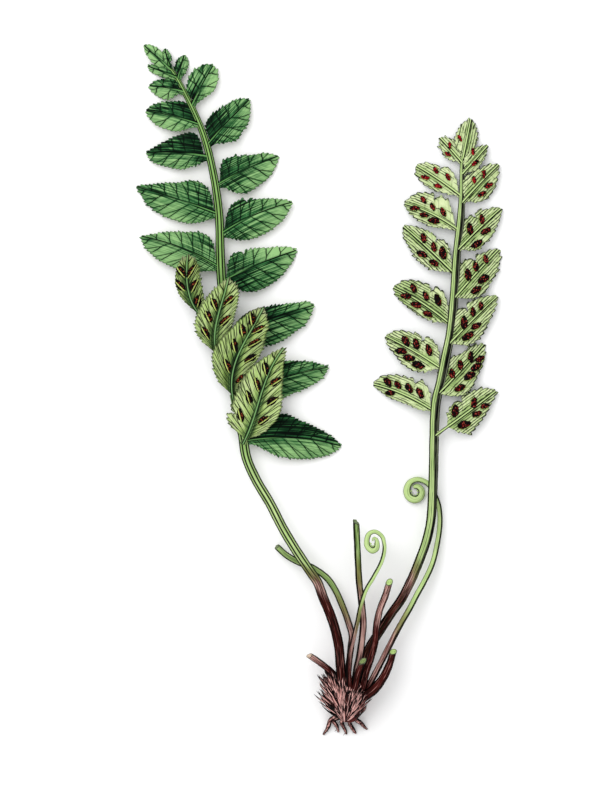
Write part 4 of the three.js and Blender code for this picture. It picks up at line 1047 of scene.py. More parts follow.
# The darkest shades of the finishes
DARK_LEAF = colour(0.02, 0.09, 0.05)
# This near black draws the veins, and also painted shade beside the midrib of the upper face.
VEIN_AND_SHADE = colour(0.01, 0.05, 0.02)
# The near black below is painted shade: on the shaded sides and in the grooves of stalks, and along
# one side of a raised midrib.
PAINTED_SHADE = colour(0.01, 0.01, 0.01)
DARK_BROWN = colour(0.04, 0.01, 0.01)
SCALE_EDGE = colour(0.03, 0.01, 0.01)


def upper_face(colours):
    """The upper face of a leaf: light between dark veins, with painted shade darker to its foot and
    its midrib.
    """
    f = Finish("leaf_upper_face", 0.03)
    count, reach, along = f.marks("Spot")
    across, dark, seed = f.marks("Tint")
    vein, near = f.side_veins(count, reach, 0.026, 0.062)
    away, rib = abs(reach), abs(across)
    beside = away.step(0.6, 0.0)

    def half(far, plain, squared, more, least, middle):
        """How light one half of the face is, with painted shade over it all, at its foot and beside
        the midrib.
        """
        foot = along.step(far, 0.05) * (dark * more + least)
        return 0.94 - dark * plain - dark * dark * squared - foot - beside * middle

    above, below = half(0.75, 0.42, 0.27, 0.45, 0.2, 0.16), half(0.5, 0.44, 0.1, 0.4, 0.1, 0.24)
    light = below + (above - below) * (1 - reach.under(0.0))
    mottle = f.noise((count * 0.7, reach * 2.0, seed), 1.3, 3.0)
    lines = f.noise((along * 1.5 + seed, across * 2.1, seed), 1.6, 1.5)
    rays = f.noise((count * 6, reach * 1.2, seed), 1.3, 2.0)
    # shaded is where the painted shade is deepest; there the lines below darken the face more, as
    # painted shade.
    shaded = light.step(0.85, 0.15)
    light = light + (mottle - 0.5) * 0.35 + (rays - 0.5) * 0.35 + near.step(0.04, 0.2) * 0.1
    light = light.most(0.03) + (lines - 0.46) * (shaded * 1.9 + 0.15)
    base = f.ramp(light, (0.0, DARK_LEAF), (0.25, colours.leaf_dark), (0.55, colours.leaf_green),
                  (0.92, colours.leaf_light))
    # The hatch is painted shade: dark lines over the shaded parts. In the coats below, the dark
    # lines beside the midrib near its foot are painted shade too.
    hatch = lines.step(0.51, 0.42) * (shaded * 1.1 + 0.06).clip()
    base = f.paint(
        base, (hatch * 0.85, colour(0.01, 0.04, 0.02)), (vein * 0.96, VEIN_AND_SHADE),
        (rib.bell(0.34, 0.12) * along.step(0.55, 0.15) * 0.85, VEIN_AND_SHADE),
        (rib.step(0.25, 0.1) * along.step(0.2, 0.5) * 0.95, VEIN_AND_SHADE),
        (away.step(0.94, 0.99) * 0.55, VEIN_AND_SHADE),
        (rib.step(0.2, 0.1) * along.step(0.42, 0.15) * 0.9, colour(0.42, 0.66, 0.36)))
    grain = f.noise(None, 2600.0, 2.0)
    height = near.step(0.0, 0.3) * 0.7 + grain * 0.35
    return f.finish(base, 0.45 + grain * 0.2, height, 0.00012, 0.5)


def lower_face(colours, name, shade, turned):
    """The lower face of a leaf. shade is how much the painted shade in the tables counts.

    turned gives the strong side veins of the left frond, and otherwise it has the broken lines of
    painted shade and the broad light midrib of the right one.
    """
    f = Finish(name, 0.04)
    count, reach, along = f.marks("Spot")
    across, dark, seed = f.marks("Tint")
    vein, _ = f.side_veins(count, reach, *((0.045, 0.1) if turned else (0.018, 0.05)))
    away, rib = abs(reach), abs(across)
    mottle = f.noise((count * 0.8, reach * 2.5, seed), 1.6, 3.0)
    rays = f.noise((count * 7, reach * 1.4, seed), 1.4, 2.0)
    lines = f.noise((along * 1.5 + seed, across * 1.35, seed), 1.6, 1.0)
    # beside and the tables' darkness lay painted shade along the midrib, less of it towards the
    # tip.
    beside = away.step(0.6, 0.04) * (1 - along * 0.3)
    light = 1.0 - dark * shade * (0.22 + beside * (0.85 if turned else 0.5))
    light = light + (mottle - 0.5) * 0.45
    light = light + (rays - 0.5) * (0.7 if turned else 0.3) - (0.04 if turned else 0.0)
    base = f.ramp(light, (0.0, colour(0.04, 0.10, 0.05)), (0.35, colours.under_shade),
                  (0.7, colours.under_green), (1.0, colours.under_light))
    if turned:
        # shaded is where painted shade lies on a turned leaflet. In the coats below, the dark lines
        # over it, the darker band beside the midrib with its lines, and the dark lines along both
        # sides of the midrib are painted shade.
        shaded = (dark * 0.5 + beside * 0.55 + (mottle - 0.5) * 3.0 - 0.08).clip()
        patch = (mottle + dark * 0.12).step(0.5, 0.62) * along.step(0.85, 0.3) * 0.6
        band = rib.step(2.0, 0.5) * along.step(1.0, 0.4)
        coats = [
            (0.3, colour(0.68, 0.80, 0.38)),
            (rays.step(0.51, 0.42) * shaded * 0.88, colour(0.04, 0.10, 0.04)),
            (away.step(0.92, 0.99) * 0.8, colour(0.06, 0.09, 0.03)),
            (along.step(0.84, 1.0) * mottle, colour(0.60, 0.60, 0.50)),
            (patch * rays.step(0.56, 0.46), colour(0.10, 0.20, 0.09)),
            (band * 0.42, colour(0.24, 0.46, 0.27)),
            (band * lines.step(0.56, 0.44) * 0.9, colour(0.02, 0.08, 0.04)),
            (vein * 0.95, colour(0.03, 0.05, 0.02)),
            (rib.bell(0.34, 0.15) * 0.9, colour(0.02, 0.07, 0.04)),
            (rib.step(0.2, 0.12) * 0.8, colour(0.52, 0.72, 0.45))]
    else:
        # The dark broken lines along the midrib are painted shade, as are the dark line beside the
        # midrib and the near black line along its other side.
        shade_hatch = abs((across * 1.35 + mottle * 1.3 + seed).part() - 0.5)
        broken = (lines + (dark - 0.8) * 0.35 + beside * 0.04 + along * 0.04).step(0.38, 0.47)
        coats = [
            (shade_hatch.step(0.25, 0.14) * broken * 0.92, colour(0.06, 0.10, 0.03)),
            (away.step(0.91, 0.98) * rays.step(0.36, 0.46), colour(0.03, 0.05, 0.02)),
            (vein * 0.3, colour(0.05, 0.08, 0.03)),
            (across.bell(0.32, 0.13) * 0.85, colour(0.04, 0.08, 0.03)),
            ((across.bell(-0.34, 0.18) * 1.3).clip(), PAINTED_SHADE),
            ((rib + along * 0.08).step(0.23, 0.14), colours.midrib)]
    grain = f.noise(None, 2600.0, 2.0)
    height = vein * 0.6 + grain * 0.4
    return f.finish(f.paint(base, *coats), 0.5 + grain * 0.2, height, 0.00012, 0.5)


def stalk(colours, name, brown_to, green_from, grooves="none", olive=0.0, curl=0.0,
          edges=(0.7, 0.6)):
    """A stalk's skin: brown at the foot, mauve in between and green above, in mm along it.

    grooves names the frond whose grooved axis it is. olive dulls the green, and curl is where a
    coil begins. edges says how far out from the middle its painted shade on each side begins.
    """
    f = Finish(name, 0.03)
    run, x, y = f.marks("Spot")
    seed = f.marks("Tint")[2]
    streak = f.noise((run * 0.09, x * 2.4 + seed, y * 2.4), 1.5, 4.0, 0.6)
    fine = f.noise((run * 0.12, x * 3.4 + seed, y * 3.4 + 5), 1.5, 2.0)
    leafy = (run - 75).step(-20, 20) * 0.75 if grooves == "left" else 0.0
    green = f.paint(colours.stalk_light, (leafy, colour(0.46, 0.70, 0.36)),
                    ((streak - 0.35) * 2.0, colours.stalk_green))
    if olive:
        green = f.paint(green, ((streak.step(0.3, 0.5) * 0.6 + 0.4) * olive,
                                colour(0.30, 0.42, 0.13)),
                        (fine.step(0.5, 0.6) * (olive * olive), colour(0.63, 0.76, 0.47)))
    pale = colour(0.88, 0.72, 0.68)
    mauve = f.ramp(streak, (0.36, colour(0.24, 0.11, 0.10)), (0.5, colours.stalk_mauve),
                   (0.64, pale))
    mauve = f.paint(mauve, (fine.step(0.52, 0.6) * 0.75, pale))
    brown = f.ramp(streak, (0.36, DARK_BROWN), (0.5, colours.stalk_brown),
                   (0.7, colour(0.36, 0.13, 0.11)))
    brown = f.paint(brown, (fine.step(0.58, 0.66) * 0.7, colour(0.74, 0.50, 0.47)))
    place = run + ((streak - 0.5) * 12.0 + x * 1.5)
    soft = 7.0 if curl or olive else 4.0
    to_green = place.step(green_from - soft, green_from + soft)
    coats = [(place.step(brown_to - 2.5, brown_to + 2.5), mauve), (to_green, green),
             (to_green * (1 - to_green) * 2.8, colour(0.46, 0.46, 0.20)),
             (fine.step(0.45, 0.37) * (0.8 - to_green * (0.45 - olive * 0.3)),
              colour(0.05, 0.03, 0.02))]
    # The darkening in the grooves and the near black along the sides of the grooved axes are
    # painted shade.
    if grooves == "left":
        dip = abs(x).bell(0.44, 0.17)
        coats += [((dip * (0.6 + to_green * 0.9)).clip(), colour(0.02, 0.04, 0.02)),
                  (abs(x).step(0.76, 0.9) * 0.97, PAINTED_SHADE)]
    elif grooves == "right":
        leafy = (run - 66).step(-12, 12)
        inward = x - 0.42 + leafy * 0.44
        coats += [(inward.step(-0.06, 0.06) * (0.6 + to_green * 0.4), PAINTED_SHADE),
                  (inward.step(0, 0.1) * fine.step(0.5, 0.6) * 0.5, colour(0.40, 0.42, 0.34)),
                  (x.bell(0.82, 0.06) * leafy * 0.8, colour(0.66, 0.70, 0.58)),
                  (x.bell(-0.1, 0.08) * fine.step(0.4, 0.5), colour(0.10, 0.17, 0.06)),
                  (x.bell(-0.46, 0.08) * (0.5 + leafy * 0.4), colour(0.10, 0.19, 0.05)),
                  ((x + leafy * 0.12).step(-0.66, -0.82) * 0.97, PAINTED_SHADE)]
    else:
        # left and right are painted shade along the stalk's sides; on the coil it lies along the
        # strand's edges instead, as painted shadow in the gap of the curl.
        left, right = x.step(-edges[0], -edges[0] - 0.12), x.step(edges[1], edges[1] + 0.15)
        if curl:
            inner = (run - curl).step(-2.0, 1.0)
            right = right + (x.step(0.8, 0.92) * 0.8 - right) * inner
            left = left + (x.step(-0.62, -0.74) - left) * inner
        coats += [(right * 0.97, PAINTED_SHADE), (left * 0.97, PAINTED_SHADE)]
    height = streak * 0.6 + fine * 0.5
    return f.finish(f.paint(brown, *coats), 0.45 + fine * 0.25, height, 0.00018, 0.6)


def spore_cases(colours):
    """Spore cases, which their third mark makes brown or red."""
    f = Finish("spore_cases", 0.06)
    tone, red, spread = f.marks("Tint")
    light = (tone + red * 0.1 - spread.step(0.55, 0.95) * (0.45 - red * 0.1)).clip()
    base = f.ramp(light, (0.3, SCALE_EDGE), (0.5, colours.sorus_dark), (0.68, colours.sorus_red),
                  (0.9, colour(0.72, 0.30, 0.24)))
    base = f.paint(
        base, (red.step(0.2, 1.0) * light.step(0.35, 0.75) * 0.85, colour(0.72, 0.05, 0.13)),
        (red.step(-0.2, -0.6) * light.step(0.3, 0.6) * 0.75, colour(0.62, 0.30, 0.14)))
    return f.finish(base, None, f.noise(None, 3500.0, 2.0), 0.0001, 0.4)


def sorus_flap(name, shade):
    """The thin flap of a sorus, with dark rims."""
    f = Finish(name, 0.1)
    x, strip, high = f.marks("Spot")
    grain = f.noise((x * 0.8, strip * 3, high), 2.0, 3.0)
    rim = strip.step(0.3, 0.12) + strip.step(0.85, 0.95)
    base = f.paint(shade, (grain * 0.5, colour(0.88, 0.92, 0.55)),
                   (rim.clip() * 0.95, colour(0.04, 0.04, 0.01)))
    return f.finish(base, None, grain, 0.0001, 0.4)


def cut_end(name, inner, rim):
    """The tissue of a cut face, light inside a rim, with two strands."""
    f = Finish(name)
    share, x, y = f.marks("Spot")
    radius, _, seed = f.marks("Tint")
    grain = f.noise((x * 3, y * 3, seed), 2.0, 3.0)
    base = f.ramp(share + (grain - 0.5) * 0.16, (0.0, inner), (0.68, inner), (0.8, rim),
                  (0.9, colour(0.06, 0.03, 0.02)))
    strands = (abs(x / radius).bell(0.36, 0.14) * (y / radius).bell(0.05, 0.22)).clip()
    base = f.paint(base, (grain.step(0.5, 0.62) * 0.5, colour(0.80, 0.90, 0.62)),
                   (strands * 0.65, colour(0.30, 0.42, 0.16)))
    return f.finish(base, None, grain, 0.0002, 0.6)


def root_scales(colours):
    """Scales from dark brown to pink, with dark edges and tips."""
    f = Finish("root_scales", 0.06)
    share, x, _ = f.marks("Spot")
    tone, size, seed = f.marks("Tint")
    streak = f.noise((share * size * 0.35, x * 1.6 + seed, seed), 2.0, 3.0)
    base = f.ramp(tone + (streak - 0.5) * 0.4, (0.2, DARK_BROWN), (0.36, colours.scale_brown),
                  (0.48, colours.scale_pink), (0.75, colour(0.98, 0.76, 0.73)))
    tip = share.step(0.5, 0.85) * (1 - tone.step(0.9, 0.97) * 0.6)
    base = f.paint(base, (abs(x).step(0.5, 0.8) * 0.97, SCALE_EDGE),
                   (tip, colour(0.05, 0.02, 0.02)))
    return f.finish(base, 0.5 + streak * 0.3, streak, 0.0001, 0.5)


def root_skin(colours):
    """The rootstock's own skin, under its scales."""
    f = Finish("rootstock_skin", 0.05)
    noise = f.noise(None, 420.0, 5.0, 0.65)
    base = f.ramp(noise, (0.4, colour(0.04, 0.02, 0.02)), (0.6, colours.scale_brown),
                  (0.8, colour(0.40, 0.20, 0.18)))
    return f.finish(base, 0.6 + noise * 0.3, noise, 0.0005, 0.8)


def root_threads(colours):
    """Roots: streaked brown and pink between dark sides."""
    f = Finish("root_threads", 0.06)
    run, x, y = f.marks("Spot")
    seed = f.marks("Tint")[2]
    streak = f.noise((run * 0.5, x * 2.2 + seed, y * 2.2), 1.5, 4.0, 0.6)
    base = f.ramp(streak, (0.42, DARK_BROWN), (0.5, colours.scale_brown),
                  (0.55, colours.scale_pink), (0.7, colour(0.95, 0.78, 0.73)))
    base = f.paint(base, (x.step(-0.05, -0.45), SCALE_EDGE), (x.step(0.5, 0.8), SCALE_EDGE))
    return f.finish(base, 0.5 + streak * 0.3, streak, 0.0003, 0.7)


def hue(label, text, *looks):
    """A colour that a user can change, given as it looks."""
    return bpy.props.FloatVectorProperty(name=label, description=text, subtype="COLOR", size=3,
                                         min=0.0, max=1.0, default=colour(*looks))


def span(label, text, metres, low, high):
    """A length that a user can change."""
    return bpy.props.FloatProperty(name=label, description=text, unit="LENGTH", precision=5,
                                   default=metres, min=low, max=high)


def number(label, text, count, low, high):
    """A whole number that a user can change."""
    return bpy.props.IntProperty(name=label, description=text, default=count, min=low, max=high)


class FernColours(bpy.types.PropertyGroup):
    """Colours of the leaves, stalks, sori and rootstock"""
    # leaf_dark is the colour that the painted shade near the midrib darkens the upper face to.
    leaf_dark: hue("Dark leaf", "Upper face near the midrib", 0.05, 0.20, 0.10)
    leaf_green: hue("Leaf", "Upper face between the veins", 0.22, 0.45, 0.25)
    leaf_light: hue("Light leaf", "Upper face near the margins", 0.61, 0.79, 0.52)
    under_shade: hue("Shaded lower face", "Lower face beside the midrib", 0.24, 0.36, 0.20)
    under_green: hue("Lower face", "Lower face between the veins", 0.67, 0.78, 0.49)
    under_light: hue("Light lower face", "Lower face near the margins", 0.90, 0.95, 0.74)
    midrib: hue("Midrib", "Midrib of the lower face", 0.82, 0.93, 0.62)
    stalk_light: hue("Light stalk", "Ridges of the green stalks", 0.84, 0.93, 0.65)
    stalk_green: hue("Green stalk", "Green part of the stalks", 0.57, 0.75, 0.38)
    stalk_mauve: hue("Mauve stalk", "Stalks between green and brown", 0.62, 0.43, 0.40)
    stalk_brown: hue("Brown stalk", "Foot of the stalks", 0.25, 0.075, 0.065)
    sorus_dark: hue("Dark spore cases", "Most of each sorus", 0.20, 0.03, 0.03)
    sorus_red: hue("Red spore cases", "Riper spore cases", 0.50, 0.06, 0.07)
    flap: hue("Sorus flap", "Thin flap beside each sorus on the turned leaflets", 0.76, 0.84, 0.42)
    cut: hue("Cut end", "Tissue at the cut ends of stalks", 0.74, 0.87, 0.50)
    scale_pink: hue("Pink scale", "Light scales of the rootstock", 0.92, 0.68, 0.65)
    scale_brown: hue("Brown scale", "Dark scales of the rootstock", 0.36, 0.13, 0.12)


class FernSizes(bpy.types.PropertyGroup):
    """Sizes of teeth, veins, sori and scales"""
    tooth: span("Tooth height", "How far a tooth of the margin stands out", 0.00045, 0.0, 0.001)
    vein_gap: span("Vein spacing", "Space of one side vein along the midrib", 0.003, 0.002, 0.008)
    sorus_long: span("Sorus length", "Length of a sorus of the right frond", 0.0037, 0.001, 0.005)
    sorus_wide: span("Sorus width", "Width of a sorus of the right frond", 0.0021, 0.0005, 0.003)
    scale_long: span("Scale length", "Length of a long scale of the rootstock", 0.008, 0.002, 0.009)
    grains: number("Spore cases", "Spore cases in one sorus", 46, 8, 90)
    scales: number("Scales", "Scales on the rootstock", 620, 60, 900)
    seed: number("Seed", "Changes how the scales and sori lie", 5, 1, 999)


class FernStage(bpy.types.PropertyGroup):
    """Floor, light and camera"""
    floor: bpy.props.FloatVectorProperty(name="Floor", description="Colour of the floor", size=3,
                                         subtype="COLOR", min=0.0, max=1.0,
                                         default=(0.96, 0.96, 0.96))
    light: bpy.props.FloatProperty(name="Light", description="Power of the soft light",
                                   unit="POWER", default=5.2, min=0.0, max=100.0)
    sky: bpy.props.FloatProperty(name="Sky", description="Brightness of the light from all round",
                                 default=0.95, min=0.0, max=3.0)
    far: span("Camera height", "Height of the camera over the plant", 1.0, 0.3, 3.0)


class FernStep:
    """What the steps share."""
    bl_options = {"REGISTER", "UNDO"}


def leaflets(rows, axis, lower_up, turned=False):
    """The leaflets of a frond's rows, joined to its axis."""
    centre = course(axis)
    return [Leaflet(row, centre, order, lower_up, turned) for order, row in enumerate(rows)]


def frond_axis(name, foot, axis, stops, section, seed, kind, finish):
    """A frond's stalk and the axis that carries its leaflets, as one stem."""
    shape = Shape()
    points = spaced(np.vstack([course(foot), course(axis)[1:]]), step=0.55)
    stem(shape, points, stops, section, seed, lumps=(0.025, kind))
    shape.piece(f"{name}_axis", [finish], "green_stalk", name, f"{name}_stalk")


class FERN_OT_left_axis(FernStep, bpy.types.Operator):
    """Builds the left frond's stalk and grooved axis, brown at the foot"""
    bl_idname = "fern.left_axis"
    bl_label = "Left frond's axis"

    def execute(self, context):
        skin = stalk(context.scene.fern_colours, "left_stalk", brown_to=30.0, green_from=36.0,
                     grooves="left")
        frond_axis("left_frond", LEFT_STALK, LEFT_AXIS, seed=1.0, kind=1.0, finish=skin,
                   stops=[(0, 1.3), (0.16, 1.3), (0.6, 1.36), (0.85, 1.02), (1, 0.6)],
                   section=grooved_section(wide=1.12, depth=0.85, top=left_top))
        return {"FINISHED"}


class FERN_OT_left_leaflets(FernStep, bpy.types.Operator):
    """Builds the flat leaflets and the tip of the left frond, upper face up"""
    bl_idname = "fern.left_leaflets"
    bl_label = "Left frond's leaflets"

    def execute(self, context):
        colours, sizes = context.scene.fern_colours, context.scene.fern_sizes
        shape = Shape()
        for leaf in leaflets(LEFT_LEAFLETS + LEFT_TIP, LEFT_AXIS, False):
            blade(shape, leaf, sizes.tooth * MM, sizes.vein_gap * MM)
        finishes = [upper_face(colours),
                    lower_face(colours, "left_lower_face", shade=0.5, turned=True)]
        shape.piece("left_frond_leaflets", finishes, "leaf_upper", "left_frond")
        return {"FINISHED"}


class FERN_OT_turned_leaflets(FernStep, bpy.types.Operator):
    """Builds the four leaflets of the left frond that are turned over its axis, with their sori"""
    bl_idname = "fern.turned_leaflets"
    bl_label = "Turned leaflets"

    def execute(self, context):
        colours, sizes = context.scene.fern_colours, context.scene.fern_sizes
        shape, sori = Shape(), Shape(gap=0.15)
        rng = np.random.default_rng(sizes.seed)
        for leaf in leaflets(TURNED_LEAFLETS, LEFT_AXIS, True, turned=True):
            blade(shape, leaf, sizes.tooth * MM * 1.35, sizes.vein_gap * MM * 0.64, teeth=2)
            for x, y in leaf.row["sori"]:
                heap(sori, leaf, x, y, long=4.2, wide=2.1, angle=math.radians(36), rng=rng,
                     grains=sizes.grains, red=-1.0, half=True)
        finishes = [lower_face(colours, "turned_lower_face", shade=0.95, turned=True),
                    upper_face(colours)]
        shape.piece("left_frond_turned_leaflets", finishes, "leaf_under", "left_frond")
        finishes = [spore_cases(colours), sorus_flap("bright_flap", colours.flap)]
        sori.piece("left_frond_sori", finishes, "leaf_under", "left_frond")
        return {"FINISHED"}


class FERN_OT_right_axis(FernStep, bpy.types.Operator):
    """Builds the right frond's stalk and axis, seen from below"""
    bl_idname = "fern.right_axis"
    bl_label = "Right frond's axis"

    def execute(self, context):
        skin = stalk(context.scene.fern_colours, "right_stalk", brown_to=31.0, green_from=38.5,
                     grooves="right")
        frond_axis("right_frond", RIGHT_STALK, RIGHT_AXIS, seed=4.0, kind=2.0, finish=skin,
                   stops=[(0, 1.2), (0.2, 1.25), (0.6, 1.3), (0.85, 1.05), (1, 0.5)],
                   section=grooved_section(wide=1.14, depth=0.75, top=right_top))
        return {"FINISHED"}


class FERN_OT_right_leaflets(FernStep, bpy.types.Operator):
    """Builds the right frond's leaflets, lower face up, with their sori"""
    bl_idname = "fern.right_leaflets"
    bl_label = "Right frond's leaflets"

    def execute(self, context):
        colours, sizes = context.scene.fern_colours, context.scene.fern_sizes
        faces = [lower_face(colours, "right_lower_face", shade=0.75, turned=False),
                 upper_face(colours)]
        heaps = [spore_cases(colours), sorus_flap("pale_flap", colour(0.58, 0.70, 0.38))]
        rng = np.random.default_rng(sizes.seed + 1)
        made = leaflets(RIGHT_LEAFLETS + RIGHT_TIP, RIGHT_AXIS, True)
        for hand in ("left", "right"):
            shape, sori = Shape(), Shape(gap=0.15)
            for leaf in (leaf for leaf in made if leaf.hand == hand):
                blade(shape, leaf, sizes.tooth * MM * 1.2, sizes.vein_gap * MM * 1.4)
                for x, y in leaf.row["sori"]:
                    self.sorus(sori, leaf, x, y, sizes, rng)
            shape.piece(f"right_frond_{hand}_leaflets", faces, "leaf_under", "right_frond")
            sori.piece(f"right_frond_{hand}_sori", heaps, "leaf_under", "right_frond")
        return {"FINISHED"}

    def sorus(self, shape, leaf, x, y, sizes, rng):
        """One sorus: smaller and redder to the frond's tip, smaller to the leaflet's tip."""
        top = float(smooth(125, 160, y))
        share, side = leaf.find(x, y)
        big = mix(1.05, 0.72, top) * (0.85 + 0.3 * rng.random()) * mix(1.15, 0.75, share)
        turn = mix(12, 22, rng.random())
        if side > 0:
            turn = mix(28, 42, rng.random()) + (14 if leaf.hand == "right" else 0)
        heap(shape, leaf, x, y, long=sizes.sorus_long * MM * big,
             wide=sizes.sorus_wide * MM * big * mix(1.0, 0.8, top), angle=math.radians(turn),
             rng=rng, grains=sizes.grains, red=top)


class FERN_OT_coils(FernStep, bpy.types.Operator):
    """Builds the two coiled young fronds"""
    bl_idname = "fern.coils"
    bl_label = "Coiled fronds"

    def execute(self, context):
        for name, coil in (("large", LARGE_COIL), ("small", SMALL_COIL)):
            shape = Shape()
            curl = [(x, y, coil["height"]) for x, y, _ in coil["curl"]]
            points = course([*rooted(coil["stalk"]), *curl], step=0.3)
            run = lengths(points)
            shares = [run[np.argmin(np.linalg.norm(points - p, axis=1))] / run[-1] for p in curl]
            stops = [(0, coil["foot"]), (shares[0] * 0.5, coil["stalk_half"]),
                     *((share, half) for share, (_, _, half) in zip(shares, coil["curl"]))]
            stem(shape, points, stops, round_section(ROUND), seed=2.0 + len(name),
                 lumps=(0.03, 2.0), start=STALK_START)
            start = shares[0] * run[-1] + STALK_START
            for order, (x, y, radius) in enumerate(coil["knobs"]):
                blob(shape, np.array([x, y, coil["height"]]), radius, run=start + order,
                     seed=order * 1.3)
            finish = stalk(context.scene.fern_colours, f"{name}_coil_skin", *coil["skin"],
                           curl=start, edges=coil["edges"])
            shape.piece(f"{name}_coil", [finish], "green_stalk", f"{name}_coiled_frond",
                        f"{name}_coiled_frond_foot")
        return {"FINISHED"}


class FERN_OT_cut_stalks(FernStep, bpy.types.Operator):
    """Builds the two long old stalks whose fronds are gone"""
    bl_idname = "fern.cut_stalks"
    bl_label = "Cut stalks"

    def execute(self, context):
        end = cut_end("torn_end", inner=colour(0.30, 0.38, 0.18), rim=colour(0.10, 0.14, 0.06))
        for name, row in CUT_STALKS.items():
            shape = cut_stalk(row["path"], row["stops"], row["slant"], row["rough"],
                              seed=5.0 + len(name), lumps=(0.04, 4.0), face_seed=3.0)
            skin = stalk(context.scene.fern_colours, f"{name}_stalk_skin", *row["skin"],
                         olive=row["olive"], edges=row["edges"])
            shape.piece(f"{name}_old_stalk", [skin, end], "green_stalk", f"{name}_cut_stalk",
                        f"{name}_cut_stalk_foot")
        return {"FINISHED"}


class FERN_OT_stubs(FernStep, bpy.types.Operator):
    """Builds the short cut stubs round the crown"""
    bl_idname = "fern.stubs"
    bl_label = "Stubs"

    def execute(self, context):
        colours = context.scene.fern_colours
        ends = {
            "pale": cut_end("cut_end", inner=colours.cut, rim=colour(0.36, 0.46, 0.20)),
            "dull": cut_end("dull_end", inner=colour(0.44, 0.52, 0.24),
                            rim=colour(0.14, 0.17, 0.07)),
            "pink": cut_end("broken_end", inner=colour(0.90, 0.76, 0.70),
                            rim=colour(0.60, 0.42, 0.38)),
        }
        for name, row in STUBS.items():
            foot, end = row["radius"]
            shape = cut_stalk(row["path"], [(0, foot), (0.9, end), (1, end)], row["slant"],
                              row.get("rough", 0.04), seed=9.0 + len(name),
                              lumps=(0.05, len(name)), face_seed=2.0)
            skin = stalk(colours, f"{name}_skin", brown_to=row.get("brown_to", 60.0),
                         green_from=90.0)
            shape.piece(f"{name}_stem", [skin, ends[row.get("end", "pale")]], "brown_stalk", name)
        return {"FINISHED"}


